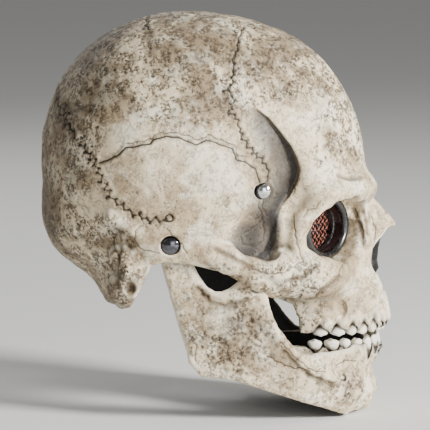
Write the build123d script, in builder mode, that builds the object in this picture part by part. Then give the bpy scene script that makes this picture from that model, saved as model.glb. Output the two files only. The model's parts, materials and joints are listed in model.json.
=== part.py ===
"""Full-head latex skull mask with a hinged lower jaw, sprung shut by two elastic straps.

Frame: millimetres, +Z up, the face looks along -Y, the wearer's left is +X.
The origin is the middle of the line between the two jaw pivots, at the wearer's ears.
"""

import math
import os

from build123d import *

os.makedirs("parts", exist_ok=True)

# ---------------------------------------------------------------- driving dimensions
WALL = 4.0  # cast latex wall of the skull
GAP = 0.3  # air between each pad and the curved wall that it is glued to

# The cranium: two ellipsoids and a skirt of ellipses below them.
PARIETAL_CENTRE, PARIETAL_SEMI = (0, 2, 52), (88, 88, 96)
FRONTAL_CENTRE, FRONTAL_SEMI = (0, -40, 45), (72, 92, 100)
SKIRT_SECTIONS = [  # height, centre in Y, half width, half depth
    (40, 6, 77, 74),
    (8, 3, 82, 72),
    (-48, 2, 76, 44),
]
FACE_SECTIONS = [  # height, centre in Y, half width, half depth
    (54, -72, 58, 58),
    (36, -75, 62, 64.7),
    (16, -76, 58, 60.5),
    (-12, -84, 52, 51),
    (-38, -95, 44, 52),
    (-64, -95, 39, 55),
]
CHEEK_SECTIONS = [  # place in Y, centre in X, centre in Z, half width, half height
    (14, 70, 0, 9, 12),
    (-12, 73, -2, 9.5, 13),
    (-40, 71, -10, 12, 13),
    (-62, 66, -20, 15, 17),
    (-82, 56, -26, 20, 20),
    (-104, 40, -27, 22, 19),
    (-122, 26, -28, 14, 13),
]
NASAL_BRIDGE_SECTIONS = [  # height, centre in Y, half width, half depth
    (26, -132, 9, 6),
    (15, -138, 10, 9),
    (4, -141, 12, 12.5),
]
MASTOID_CENTRE, MASTOID_SEMI = (74, 30, -24), (9.5, 16, 20)
SKULL_RIM = [  # the lower edge of the skull shell in side view, from the nape to the upper gum
    (120, -41),
    (28, -44),
    (19, -37),
    (12, -14),
    (-12, -14),
    (-40, -20),
    (-58, -31),
    (-74, -44),
    (-84, -47),
    (-87, -52),
    (-92, -90),
]
ARCH_SPACE_CENTRE, ARCH_SPACE_SIZE = (51, -56, -28), (34, 56, 40)  # behind each cheekbone
JAW_SLOT_CENTRE, JAW_SLOT_SIZE = (66.25, -46, -31), (12.5, 36, 34)  # where the jaw rises inside the arch

# Orbits, eye cups and nose.
ORBIT_CENTRE = (36, -106, 6)
ORBIT_YAW = 34.0  # each orbit looks this far out from straight ahead, in degrees
ORBIT_SEMI = (25.5, 22.0)
SOCKET_WALL, SOCKET_DEPTH = 3.0, 15.0
CUP_FRONT, CUP_BACK, CUP_WALL, CUP_LIP = 1.5, 13.5, 3.0, 6.0
MESH_THICKNESS, MESH_SEMI, MESH_HOLE, MESH_PITCH = 0.8, (24.0, 20.5), 2.1, 3.4
NOSE_TOP, NOSE_BOTTOM, NOSE_HALF_WIDTH = 1.0, -35.0, 16.0
NOSE_BACK, NOSE_PLATE = -121.0, 3.0
SEPTUM_THICKNESS, SEPTUM_FRONT = 2.4, -138.0
NOSTRIL_WIDTH, NOSTRIL_HEIGHT, NOSTRIL_X, NOSTRIL_Z = 7.0, 14.0, 6.8, -21.0

# Rivets: a domed cap outside, a shank, and a flat cap inside.
HINGE_CAP, HINGE_DOME, HINGE_SHANK = 11.5, 2.6, 4.0
TEMPLE_CAP, TEMPLE_DOME, TEMPLE_SHANK = 9.6, 2.4, 3.0
BACK_CAP_RADIUS, BACK_CAP_THICKNESS = 5.2, 1.4
SEAT_MARGIN = 0.8  # the flat seat round each outer cap
BOSS_OUTER, BOSS_INNER, BOSS_RADIUS = 80.0, 73.4, 11.0  # the seat of each jaw pivot, in X
WASHER_THICKNESS, WASHER_RADIUS = 1.0, 7.0
TEMPLE_Y, TEMPLE_Z = -61.0, 35.0
TEMPLE_OUTER, TEMPLE_INNER, TEMPLE_BOSS_RADIUS = 69.2, 62.8, 8.0

# The jaw: a hollow horseshoe in plan, cut to the mandible's side view.
JAW_WALL = 3.6
JAW_OUTER = 72.0  # half width of the jaw at its pivots
JAW_CENTRE_Y, JAW_BACK_Y = -15.0, 16.0
JAW_PLAN = [  # share of the half width, share of the depth
    (1, 0),
    (0.965, 0.3),
    (0.88, 0.56),
    (0.72, 0.78),
    (0.47, 0.93),
    (0, 1),
]
JAW_SECTIONS = [  # height, half width, depth forward of the centre
    (4, 72.0, 122.0),
    (-10, 72.0, 122.0),
    (-60, 69.0, 122.0),
    (-94, 65.0, 120.5),
    (-108, 63.0, 125.0),
    (-126, 58.0, 117.0),
]
JAW_BORDER = [  # the lower border in side view, from the angle of the jaw to the chin
    (-20, -90.5),
    (-42, -93),
    (-75, -105),
    (-100, -114),
    (-118, -122),
    (-132, -121),
]
JAW_OUTLINE = [  # the rest of the side view: up the chin, back to the notch, and down the ramus
    (-142, -109),
    (-146, -90),
    (-100, -90),
    (-88, -82),
    (-78, -72),
    (-71, -58),
    (-67, -36),
    (-63, -23),
    (-56, -18.5),
    (-49, -21),
    (-40, -31),
    (-30, -34.5),
    (-20, -28),
    (-13, -14),
    (-8.6, 0),
    (8.6, 0),
    (6.5, -18),
    (-4, -55),
    (-13, -83),
]
JAW_TAB_RADIUS = 8.6
FLANGE_WIDTH, FLANGE_THICKNESS = 15.0, 4.5  # the inward flange along the lower border
EYELET_RADIUS, EYELET_FLANGE_RADIUS, EYELET_FLANGE = 3.0, 4.6, 0.25
RUNNING_CLEARANCE = 0.05
LOWER_GUM_SECTIONS = [  # height, half width, half depth
    (-80, 38.5, 50.5),
    (-91, 41.0, 42.0),
    (-100, 43.0, 42.5),
]
GUM_THICKNESS = 8.0

# Teeth: two bonded rows on half ellipses.
ARCH_CENTRE_Y = -95.0
UPPER_ARCH, LOWER_ARCH = (38.5, 54.0), (37.5, 50.5)  # half width, half depth of the crowns' faces
TOOTH_WIDTHS = [9.4, 8.0, 8.8, 8.6, 8.6, 11.6, 11.2]  # central incisor to second molar
UPPER_GUM_Z, UPPER_EDGE_Z = -58.0, -68.5
LOWER_GUM_Z, LOWER_EDGE_Z = -80.0, -70.5
INCISOR_DEPTH, MOLAR_DEPTH = 6.0, 8.0
BAR_INSET, BAR_WIDTH, BAR_HEIGHT = 2.0, 4.0, 2.5  # the bar that joins each row's crowns

# Soft fittings.
PAD_THICKNESS = 7.0
PADS = {  # the block that cuts each pad from the lining: centre, size
    "forehead_pad": ((0, -115, 74), (84, 70, 34)),
    "crown_pad": ((0, -18, 140), (66, 84, 60)),
    "side_pad_right": ((-80, 8, 76), (50, 64, 38)),
    "side_pad_left": ((80, 8, 76), (50, 64, 38)),
    "rear_pad": ((0, 80, 76), (66, 60, 38)),
}
BAND_HEIGHT, BAND_THICKNESS, BAND_FRONT_Y = 20.0, 1.5, -67.0
BAND_PATH = [(67, -30), (72, 5), (63, 42), (38, 67), (0, 75)]  # X and Y behind the straight end
ELASTIC_WIDTH, ELASTIC_THICKNESS, ELASTIC_Y = 13.0, 1.2, -59.0
ELASTIC_PATH = [(57.0, 8), (51.8, -7), (55.5, -17)]  # X and Z between its two straight ends
ANCHOR_Y, ANCHOR_Z = -57.0, -30.0  # the small rivet that holds each elastic to the jaw
ANCHOR_OUTER, ANCHOR_INNER, ANCHOR_BOSS_RADIUS = 67.8, 62.6, 5.0
ANCHOR_CAP, ANCHOR_DOME, ANCHOR_SHANK = 7.0, 1.8, 3.0
CHIN_STRAP_BACK, CHIN_STRAP_FRONT = -77.0, -97.0  # in Y
CHIN_STRAP_HALF_LENGTH, CHIN_STRAP_THICKNESS = 46.0, 1.6
CHIN_PAD_THICKNESS, CHIN_PAD_WIDTH = 9.0, 52.0
CHIN_PAD_BOTTOM, CHIN_PAD_TOP = -115.0, -100.5

SIDES = {"right": -1, "left": 1}


# ---------------------------------------------------------------- shapes used more than once
def save(part, label):
    """Labels a finished piece and writes it to its own STEP file."""
    part.label = label
    export_step(part, f"parts/{label}.step")


def ellipsoid(centre, semi_axes, inset=0.0, seam=90.0):
    """A ball stretched to three half axes, each reduced by inset; its seam faces seam degrees."""
    with BuildPart() as ball:
        Sphere(1, rotation=(0, 0, seam))
        scale(by=tuple(s - inset for s in semi_axes))
    return ball.part.moved(Location(centre))


def stacked_ellipses(sections, inset=0.0, seam=1):
    """A loft through level ellipses: height, centre in Y, half width, half depth."""
    with BuildPart() as stack:
        for height, centre_y, half_width, half_depth in sections:
            with BuildSketch(Plane((0, centre_y, height), x_dir=(0, seam, 0), z_dir=(0, 0, 1))):
                Ellipse(half_depth - inset, half_width - inset)
        loft()
    return stack.part


def cheek(side, inset=0.0):
    """The cheekbone and arch of one side, a loft through upright ellipses from ear to nose."""
    with BuildPart() as bone:
        for place_y, centre_x, centre_z, half_width, half_height in CHEEK_SECTIONS:
            centre = (side * centre_x, place_y, centre_z)
            with BuildSketch(Plane(centre, x_dir=(1, 0, 0), z_dir=(0, -1, 0))):
                Ellipse(half_width - inset, half_height - inset)
        loft()
    return bone.part


def side_profile(points):
    """A side view of (Y, Z) points, extruded right across the object."""
    with BuildPart() as slab:
        with BuildSketch(Plane.YZ):
            with BuildLine():
                Polyline(*points, close=True)
            make_face()
        extrude(amount=150, both=True)
    return slab.part


def orbit_plane(side, depth=0.0):
    """The plane of one orbit's rim, its normal pointing out of the face; depth goes inward."""
    yaw = math.radians(ORBIT_YAW)
    outward = Vector(side * math.sin(yaw), -math.cos(yaw), 0)
    centre = Vector(side * ORBIT_CENTRE[0], ORBIT_CENTRE[1], ORBIT_CENTRE[2])
    return Plane(centre - outward * depth, x_dir=(math.cos(yaw), side * math.sin(yaw), 0), z_dir=outward)


def orbit_prism(side, semi_axes, front, back):
    """An elliptical prism along one orbit's axis, from front to back millimetres inward."""
    with BuildPart() as prism:
        with BuildSketch(orbit_plane(side, back)):
            Ellipse(*semi_axes)
        extrude(amount=back - front)
    return prism.part


def shrunk(semi_axes, amount):
    """Two half axes, each reduced by amount."""
    return (semi_axes[0] - amount, semi_axes[1] - amount)


def nose_prism(grow, front_y, back_y):
    """The nasal opening's outline, grown on all sides, as a prism along Y."""
    with BuildPart() as prism:
        with BuildSketch(Plane.XZ.offset(-back_y)):
            with BuildLine():
                Spline(
                    (0, NOSE_TOP + grow),
                    (NOSE_HALF_WIDTH * 0.62 + grow, NOSE_BOTTOM * 0.35),
                    (NOSE_HALF_WIDTH + grow, NOSE_BOTTOM * 0.78),
                    (NOSE_HALF_WIDTH * 0.45, NOSE_BOTTOM - grow),
                    tangents=[(1, -0.4, 0), (-1, 0.1, 0)],
                )
                Line((NOSE_HALF_WIDTH * 0.45, NOSE_BOTTOM - grow), (0, NOSE_BOTTOM - grow))
                Line((0, NOSE_BOTTOM - grow), (0, NOSE_TOP + grow))
            make_face()
            mirror(about=Plane.YZ)
        extrude(amount=back_y - front_y)
    return prism.part


def side_plane(side, place_y=0.0, place_z=0.0):
    """A plane on the middle of the object whose normal points out to one side."""
    return Plane((0, place_y, place_z), x_dir=(0, 1, 0), z_dir=(side, 0, 0))


def disc(plane, radius, start, end, bore=0.0):
    """A round plate on a plane's normal, from start to end, with an optional bore."""
    with BuildPart() as plate:
        with BuildSketch(plane.offset(start)):
            Circle(radius)
            if bore:
                Circle(bore, mode=Mode.SUBTRACT)
        extrude(amount=end - start)
    return plate.part


def domed_rivet(plane, seat, cap_diameter, dome, shank_radius, shank_end):
    """A rivet whose cap sits at seat on the plane's normal and whose shank ends at shank_end."""
    half, edge = cap_diameter / 2, 0.7
    with BuildPart() as rivet:
        with BuildSketch(Plane(plane.origin, x_dir=plane.x_dir, z_dir=-plane.y_dir)):
            with BuildLine():
                Polyline((0, shank_end), (shank_radius, shank_end), (shank_radius, seat), (half, seat))
                Line((half, seat), (half, seat + edge))
                TangentArc((0, seat + dome), (half, seat + edge), tangent=(1, 0))
                Line((0, seat + dome), (0, shank_end))
            make_face()
        revolve(axis=Axis(plane.origin, plane.z_dir))
    return rivet.part


def jaw_horseshoe(inset):
    """The jaw's solid horseshoe in plan, every section reduced by inset."""
    with BuildPart() as horseshoe:
        for height, half_width, depth in JAW_SECTIONS:
            reach = [
                ((half_width - inset) * across, JAW_CENTRE_Y - (depth - inset) * forward)
                for across, forward in JAW_PLAN
            ]
            right = [(-x, y) for x, y in reach]
            with BuildSketch(Plane.XY.offset(height)):
                with BuildLine():
                    Spline(*reach, *reversed(right[:-1]), tangents=[(0, -1, 0), (0, 1, 0)])
                    Line(right[0], (right[0][0], JAW_BACK_Y))
                    Line((right[0][0], JAW_BACK_Y), (reach[0][0], JAW_BACK_Y))
                    Line((reach[0][0], JAW_BACK_Y), reach[0])
                make_face()
        loft()
    return horseshoe.part


def half_ellipse_wall(semi_axes, width, low, high):
    """The front half of an elliptical wall on the dental arch's centre, between two heights."""
    with BuildPart() as wall:
        with BuildSketch(Plane.XY.offset(low)):
            with Locations((0, ARCH_CENTRE_Y)):
                Ellipse(*semi_axes)
                Ellipse(semi_axes[0] - width, semi_axes[1] - width, mode=Mode.SUBTRACT)
            with Locations((0, ARCH_CENTRE_Y + 60)):
                Rectangle(200, 120, mode=Mode.SUBTRACT)
        extrude(amount=high - low)
    return wall.part


def arch_places(semi_axes):
    """The middle of each crown along one half of an arch: X, Y and the outward angle."""
    places, angle, walked, target = [], 0.0, 0.0, 0.0
    step = 0.0005
    for width in TOOTH_WIDTHS:
        target += width / 2
        while walked < target:
            speed = math.hypot(semi_axes[0] * math.cos(angle), semi_axes[1] * math.sin(angle))
            walked += speed * step
            angle += step
        target += width / 2
        x = semi_axes[0] * math.sin(angle)
        y = ARCH_CENTRE_Y - semi_axes[1] * math.cos(angle)
        outward = math.atan2(semi_axes[0] * math.cos(angle), semi_axes[1] * math.sin(angle))
        places.append((x, y, -outward))
    return places


def crown(side, place, number, gum_z, edge_z):
    """One crown, wider at its middle than at the gum, with a biting edge or a flat top."""
    x, y, outward = place
    width = TOOTH_WIDTHS[number] - 0.25
    molar = number > 2
    depth = MOLAR_DEPTH if molar else INCISOR_DEPTH
    away = Vector(side * math.cos(outward), math.sin(outward), 0)
    along = Vector(-away.Y, away.X, 0)
    grow = 1 if edge_z > gum_z else -1
    stages = [(0.0, 0.84, 1.0), (0.45, 1.0, 1.0), (1.0, 0.88, 0.72 if molar else 0.4)]
    with BuildPart() as tooth:
        for share, wide, deep in stages:
            height = gum_z + share * (edge_z - gum_z)
            lean = 0.35 * depth * (1 - deep)
            centre = Vector(side * x, y, height) - away * (depth / 2 - lean * 0.2)
            with BuildSketch(Plane(centre, x_dir=along, z_dir=(0, 0, grow))):
                RectangleRounded(width * wide, depth * deep, depth * deep * 0.3)
        loft()
    return tooth.part


# ---------------------------------------------------------------- skull shell
def braincase(inset=0.0):
    """The closed volumes of the cranium and face, their seams turned to lie inside each other."""
    return [
        ellipsoid(PARIETAL_CENTRE, PARIETAL_SEMI, inset, -90),
        ellipsoid(FRONTAL_CENTRE, FRONTAL_SEMI, inset, 90),
        stacked_ellipses(SKIRT_SECTIONS, inset, -1),
        stacked_ellipses(FACE_SECTIONS, inset, 1),
        cheek(-1, inset),
        cheek(1, inset),
    ]


below_rim = side_profile([*SKULL_RIM, (-92, -250), (120, -250)])
below_gum = side_profile([(-60, UPPER_GUM_Z), (-200, UPPER_GUM_Z), (-200, -150), (-60, -150)])
mastoids = [ellipsoid((s * MASTOID_CENTRE[0], *MASTOID_CENTRE[1:]), MASTOID_SEMI, 0, -90) for s in (-1, 1)]

with BuildPart() as hollow:
    for volume in braincase(WALL):
        add(volume)
    for side in SIDES.values():
        with Locations((side * ARCH_SPACE_CENTRE[0], *ARCH_SPACE_CENTRE[1:])):
            Box(*ARCH_SPACE_SIZE)
        with Locations((side * JAW_SLOT_CENTRE[0], *JAW_SLOT_CENTRE[1:])):
            Box(*JAW_SLOT_SIZE)
        temple = side_plane(side, TEMPLE_Y, TEMPLE_Z)
        add(orbit_prism(side, shrunk(ORBIT_SEMI, -SOCKET_WALL), -30, SOCKET_DEPTH), mode=Mode.SUBTRACT)
        add(disc(side_plane(side), BOSS_RADIUS, BOSS_INNER, BOSS_OUTER), mode=Mode.SUBTRACT)
        add(disc(temple, TEMPLE_BOSS_RADIUS, TEMPLE_INNER, TEMPLE_OUTER), mode=Mode.SUBTRACT)
    add(nose_prism(SOCKET_WALL, -160, NOSE_BACK), mode=Mode.SUBTRACT)
    for mastoid in mastoids:
        add(mastoid, mode=Mode.SUBTRACT)

with BuildPart() as skull_shell:
    for volume in braincase():
        add(volume)
    add(stacked_ellipses(NASAL_BRIDGE_SECTIONS))
    for mastoid in mastoids:
        add(mastoid)
    for side in SIDES.values():
        temple = side_plane(side, TEMPLE_Y, TEMPLE_Z)
        add(disc(temple, TEMPLE_BOSS_RADIUS, TEMPLE_INNER, TEMPLE_OUTER))
    add(hollow.part, mode=Mode.SUBTRACT)
    for side in SIDES.values():
        pivot = side_plane(side)
        temple = side_plane(side, TEMPLE_Y, TEMPLE_Z)
        add(orbit_prism(side, ORBIT_SEMI, -40, SOCKET_DEPTH + 30), mode=Mode.SUBTRACT)
        add(disc(pivot, HINGE_SHANK / 2, BOSS_INNER - 5, BOSS_OUTER + 5), mode=Mode.SUBTRACT)
        add(disc(pivot, HINGE_CAP / 2 + SEAT_MARGIN, BOSS_OUTER, BOSS_OUTER + 9), mode=Mode.SUBTRACT)
        add(disc(temple, TEMPLE_SHANK / 2, TEMPLE_INNER - 5, TEMPLE_OUTER + 5), mode=Mode.SUBTRACT)
        add(disc(temple, TEMPLE_CAP / 2 + SEAT_MARGIN, TEMPLE_OUTER, TEMPLE_OUTER + 9), mode=Mode.SUBTRACT)
    add(nose_prism(0, -175, NOSE_BACK + 25), mode=Mode.SUBTRACT)
    add(below_rim, mode=Mode.SUBTRACT)
    add(below_gum, mode=Mode.SUBTRACT)
largest = skull_shell.part.solids().sort_by(SortBy.VOLUME)[-1]
save(largest, "skull_shell")

# ---------------------------------------------------------------- eye cups, eye mesh, nose insert
cup_semi = shrunk(ORBIT_SEMI, 0.02)
for name, side in SIDES.items():
    with BuildPart() as eye_cup:
        add(orbit_prism(side, cup_semi, CUP_FRONT, CUP_BACK))
        add(orbit_prism(side, shrunk(cup_semi, CUP_LIP), CUP_FRONT, CUP_BACK), mode=Mode.SUBTRACT)
        add(orbit_prism(side, shrunk(cup_semi, CUP_WALL), CUP_FRONT + 3.5, CUP_BACK), mode=Mode.SUBTRACT)
        front_face = eye_cup.faces().sort_by(Axis((0, 0, 0), orbit_plane(side).z_dir))[-1]
        fillet(front_face.edges(), 1.5)
    save(eye_cup.part, f"eye_cup_{name}")

    with BuildPart() as eye_mesh:
        add(orbit_prism(side, shrunk(ORBIT_SEMI, 0.4), CUP_BACK, CUP_BACK + MESH_THICKNESS))
        with BuildSketch(orbit_plane(side, CUP_BACK + 5)):
            with GridLocations(MESH_PITCH, MESH_PITCH, 12, 10) as grid:
                holes = [
                    spot
                    for spot in grid.local_locations
                    if math.hypot(spot.position.X / 20.5, spot.position.Y / 17.0) < 1
                ]
            with Locations(*holes):
                Rectangle(MESH_HOLE, MESH_HOLE, rotation=45)
        extrude(amount=10, mode=Mode.SUBTRACT)
    save(eye_mesh.part, f"eye_mesh_{name}")

with BuildPart() as nose_insert:
    add(nose_prism(-0.02, NOSE_BACK - NOSE_PLATE, NOSE_BACK))
    with Locations((0, (SEPTUM_FRONT + NOSE_BACK) / 2, (NOSE_TOP + NOSE_BOTTOM) / 2 - 4)):
        Box(SEPTUM_THICKNESS, NOSE_BACK - SEPTUM_FRONT, 22)
    for side in SIDES.values():
        with BuildSketch(Plane.XZ.offset(-NOSE_BACK - 1)):
            with Locations((side * NOSTRIL_X, NOSTRIL_Z)):
                SlotOverall(NOSTRIL_HEIGHT, NOSTRIL_WIDTH, rotation=90)
        extrude(amount=NOSE_PLATE + 2, mode=Mode.SUBTRACT)
save(nose_insert.part, "nose_insert")

# ---------------------------------------------------------------- teeth
rows = {
    "upper_tooth_row": (UPPER_ARCH, UPPER_GUM_Z, UPPER_EDGE_Z),
    "lower_tooth_row": (LOWER_ARCH, LOWER_GUM_Z, LOWER_EDGE_Z),
}
for name, (arch, gum_z, edge_z) in rows.items():
    bar_end = gum_z + math.copysign(BAR_HEIGHT, edge_z - gum_z)
    with BuildPart() as tooth_row:
        add(half_ellipse_wall(shrunk(arch, BAR_INSET), BAR_WIDTH, min(gum_z, bar_end), max(gum_z, bar_end)))
        for side in SIDES.values():
            for number, place in enumerate(arch_places(arch)):
                add(crown(side, place, number, gum_z, edge_z))
    save(tooth_row.part, name)

# ---------------------------------------------------------------- jaw shell
flange_top = [(y, z + FLANGE_THICKNESS) for y, z in reversed(JAW_BORDER)]
flange_profile = side_profile([*JAW_BORDER, *flange_top])
tab_end = JAW_OUTER - JAW_WALL

with BuildPart() as jaw_flange:
    add(jaw_horseshoe(JAW_WALL / 2))
    add(jaw_horseshoe(FLANGE_WIDTH), mode=Mode.SUBTRACT)
    add(flange_profile, mode=Mode.INTERSECT)

gum_low, gum_high = LOWER_GUM_SECTIONS[-1][0], LOWER_GUM_SECTIONS[0][0]
gum_rings = [(height, ARCH_CENTRE_Y, width, depth) for height, width, depth in LOWER_GUM_SECTIONS]
with BuildPart() as lower_gum:
    add(stacked_ellipses(gum_rings, 0))
    add(stacked_ellipses(gum_rings, GUM_THICKNESS), mode=Mode.SUBTRACT)
    with Locations((0, ARCH_CENTRE_Y + 60, (gum_low + gum_high) / 2)):
        Box(200, 120, 60, mode=Mode.SUBTRACT)

with BuildPart() as jaw_shell:
    add(jaw_horseshoe(0))
    add(jaw_horseshoe(JAW_WALL), mode=Mode.SUBTRACT)
    add(side_profile([*JAW_BORDER, *JAW_OUTLINE]), mode=Mode.INTERSECT)
    add(jaw_flange.part)
    add(lower_gum.part)
    for side in SIDES.values():
        pivot = side_plane(side)
        anchor = side_plane(side, ANCHOR_Y, ANCHOR_Z)
        add(disc(pivot, JAW_TAB_RADIUS, tab_end, JAW_OUTER))
        add(disc(pivot, 12, JAW_OUTER, JAW_OUTER + 6), mode=Mode.SUBTRACT)
        add(disc(pivot, 12, tab_end - 6, tab_end), mode=Mode.SUBTRACT)
        add(disc(pivot, EYELET_RADIUS, tab_end - 2, JAW_OUTER + 2), mode=Mode.SUBTRACT)
        add(disc(anchor, ANCHOR_BOSS_RADIUS, ANCHOR_INNER, ANCHOR_OUTER))
        add(disc(anchor, ANCHOR_CAP / 2 + SEAT_MARGIN, ANCHOR_OUTER, ANCHOR_OUTER + 6), mode=Mode.SUBTRACT)
        add(disc(anchor, ANCHOR_SHANK / 2, ANCHOR_INNER - 5, ANCHOR_OUTER + 5), mode=Mode.SUBTRACT)
save(jaw_shell.part, "jaw_shell")

# ---------------------------------------------------------------- rivets, washers, eyelets
hinge_end = tab_end - EYELET_FLANGE - 0.15 - BACK_CAP_THICKNESS
temple_end = TEMPLE_INNER - BAND_THICKNESS - ELASTIC_THICKNESS - BACK_CAP_THICKNESS
anchor_end = ANCHOR_INNER - ELASTIC_THICKNESS - BACK_CAP_THICKNESS
for name, side in SIDES.items():
    pivot = side_plane(side)
    temple = side_plane(side, TEMPLE_Y, TEMPLE_Z)
    anchor = side_plane(side, ANCHOR_Y, ANCHOR_Z)
    rivet = domed_rivet(pivot, BOSS_OUTER, HINGE_CAP, HINGE_DOME, HINGE_SHANK / 2, hinge_end)
    save(rivet, f"hinge_rivet_{name}")
    back = disc(pivot, BACK_CAP_RADIUS, hinge_end, hinge_end + BACK_CAP_THICKNESS, HINGE_SHANK / 2)
    save(back, f"hinge_rivet_back_{name}")
    washer = disc(pivot, WASHER_RADIUS, BOSS_INNER - WASHER_THICKNESS, BOSS_INNER, HINGE_SHANK / 2)
    save(washer, f"hinge_washer_{name}")

    with BuildPart() as eyelet:
        bore = HINGE_SHANK / 2 + RUNNING_CLEARANCE
        add(disc(pivot, EYELET_RADIUS, tab_end, JAW_OUTER, bore))
        add(disc(pivot, EYELET_FLANGE_RADIUS, JAW_OUTER, JAW_OUTER + EYELET_FLANGE, bore))
        add(disc(pivot, EYELET_FLANGE_RADIUS, tab_end - EYELET_FLANGE, tab_end, bore))
    save(eyelet.part, f"hinge_eyelet_{name}")

    rivet = domed_rivet(temple, TEMPLE_OUTER, TEMPLE_CAP, TEMPLE_DOME, TEMPLE_SHANK / 2, temple_end)
    save(rivet, f"temple_rivet_{name}")
    back = disc(temple, BACK_CAP_RADIUS, temple_end, temple_end + BACK_CAP_THICKNESS, TEMPLE_SHANK / 2)
    save(back, f"temple_rivet_back_{name}")

    with BuildPart() as elastic_rivet:
        add(domed_rivet(anchor, ANCHOR_OUTER, ANCHOR_CAP, ANCHOR_DOME, ANCHOR_SHANK / 2, anchor_end))
        add(disc(anchor, ANCHOR_CAP / 2, anchor_end, anchor_end + BACK_CAP_THICKNESS))
    save(elastic_rivet.part, f"elastic_rivet_{name}")

# ---------------------------------------------------------------- head band and elastics
band_x = TEMPLE_INNER - BAND_THICKNESS / 2
with BuildPart() as head_band:
    with BuildSketch(Plane.XY.offset(TEMPLE_Z - BAND_HEIGHT / 2)):
        with BuildLine():
            Line((band_x, BAND_FRONT_Y), (band_x, TEMPLE_Y + 8))
            Spline((band_x, TEMPLE_Y + 8), *BAND_PATH, tangents=[(0, 1), (-1, 0)])
            mirror(about=Plane.YZ)
        trace(line_width=BAND_THICKNESS)
    extrude(amount=BAND_HEIGHT)
    for side in SIDES.values():
        temple = side_plane(side, TEMPLE_Y, TEMPLE_Z)
        add(disc(temple, TEMPLE_SHANK / 2, TEMPLE_INNER - 5, TEMPLE_INNER + 2), mode=Mode.SUBTRACT)
save(head_band.part, "head_band")

upper_x = TEMPLE_INNER - BAND_THICKNESS - ELASTIC_THICKNESS / 2
lower_x = ANCHOR_INNER - ELASTIC_THICKNESS / 2
for name, side in SIDES.items():
    with BuildPart() as jaw_elastic:
        with BuildSketch(Plane((0, ELASTIC_Y, 0), x_dir=(side, 0, 0), z_dir=(0, -side, 0))):
            with BuildLine():
                Line((upper_x, TEMPLE_Z + 6.5), (upper_x, TEMPLE_Z - 7))
                Spline(
                    (upper_x, TEMPLE_Z - 7),
                    *ELASTIC_PATH,
                    (lower_x, ANCHOR_Z + 5),
                    tangents=[(0, -1), (0, -1)],
                )
                Line((lower_x, ANCHOR_Z + 5), (lower_x, ANCHOR_Z - 6.5))
            trace(line_width=ELASTIC_THICKNESS)
        extrude(amount=ELASTIC_WIDTH / 2, both=True)
        temple = side_plane(side, TEMPLE_Y, TEMPLE_Z)
        anchor = side_plane(side, ANCHOR_Y, ANCHOR_Z)
        add(disc(temple, TEMPLE_SHANK / 2, TEMPLE_INNER - 8, TEMPLE_INNER), mode=Mode.SUBTRACT)
        add(disc(anchor, ANCHOR_SHANK / 2, ANCHOR_INNER - 5, ANCHOR_INNER + 2), mode=Mode.SUBTRACT)
    save(jaw_elastic.part, f"jaw_elastic_{name}")

# ---------------------------------------------------------------- pads and chin strap
with BuildPart() as lining:
    add(ellipsoid(PARIETAL_CENTRE, PARIETAL_SEMI, WALL + GAP, -90))
    add(ellipsoid(FRONTAL_CENTRE, FRONTAL_SEMI, WALL + GAP, 90))
with BuildPart() as head_room:
    add(ellipsoid(PARIETAL_CENTRE, PARIETAL_SEMI, WALL + GAP + PAD_THICKNESS, -90))
    add(ellipsoid(FRONTAL_CENTRE, FRONTAL_SEMI, WALL + GAP + PAD_THICKNESS, 90))
for name, (centre, size) in PADS.items():
    with BuildPart() as pad:
        with Locations(centre):
            Box(*size)
        add(lining.part, mode=Mode.INTERSECT)
        add(head_room.part, mode=Mode.SUBTRACT)
    save(pad.part, name)

with BuildPart() as chin_pad:
    chin_y = (CHIN_PAD_BOTTOM + CHIN_PAD_TOP) / 2
    add(jaw_horseshoe(JAW_WALL + GAP))
    add(jaw_horseshoe(JAW_WALL + GAP + CHIN_PAD_THICKNESS), mode=Mode.SUBTRACT)
    with Locations((0, -120, chin_y)):
        Box(CHIN_PAD_WIDTH, 60, CHIN_PAD_TOP - CHIN_PAD_BOTTOM, mode=Mode.INTERSECT)
save(chin_pad.part, "chin_pad")

(back_y, back_z), (front_y, front_z) = JAW_BORDER[2], JAW_BORDER[3]
slope = (front_z - back_z) / (front_y - back_y)
strap_back_z = back_z + FLANGE_THICKNESS + slope * (CHIN_STRAP_BACK - back_y)
strap_front_z = back_z + FLANGE_THICKNESS + slope * (CHIN_STRAP_FRONT - back_y)
with BuildPart() as chin_strap:
    with BuildSketch(Plane.YZ):
        with BuildLine():
            Polyline(
                (CHIN_STRAP_BACK, strap_back_z),
                (CHIN_STRAP_FRONT, strap_front_z),
                (CHIN_STRAP_FRONT, strap_front_z + CHIN_STRAP_THICKNESS),
                (CHIN_STRAP_BACK, strap_back_z + CHIN_STRAP_THICKNESS),
                close=True,
            )
        make_face()
    extrude(amount=CHIN_STRAP_HALF_LENGTH, both=True)
save(chin_strap.part, "chin_strap")
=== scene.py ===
"""The looks of the skull mask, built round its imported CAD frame.

The latex castings are sculpted as signed distances in millimetres, in the frame's own axes: +Z up, the
face towards -Y, the wearer's left +X, and the origin between the two jaw pivots. Each sculpt holds the
half on +X and is mirrored when it is cast into a mesh.
"""
import json
import math

import bpy
import numpy as np
import openvdb
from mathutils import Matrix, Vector
from mathutils.kdtree import KDTree

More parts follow.
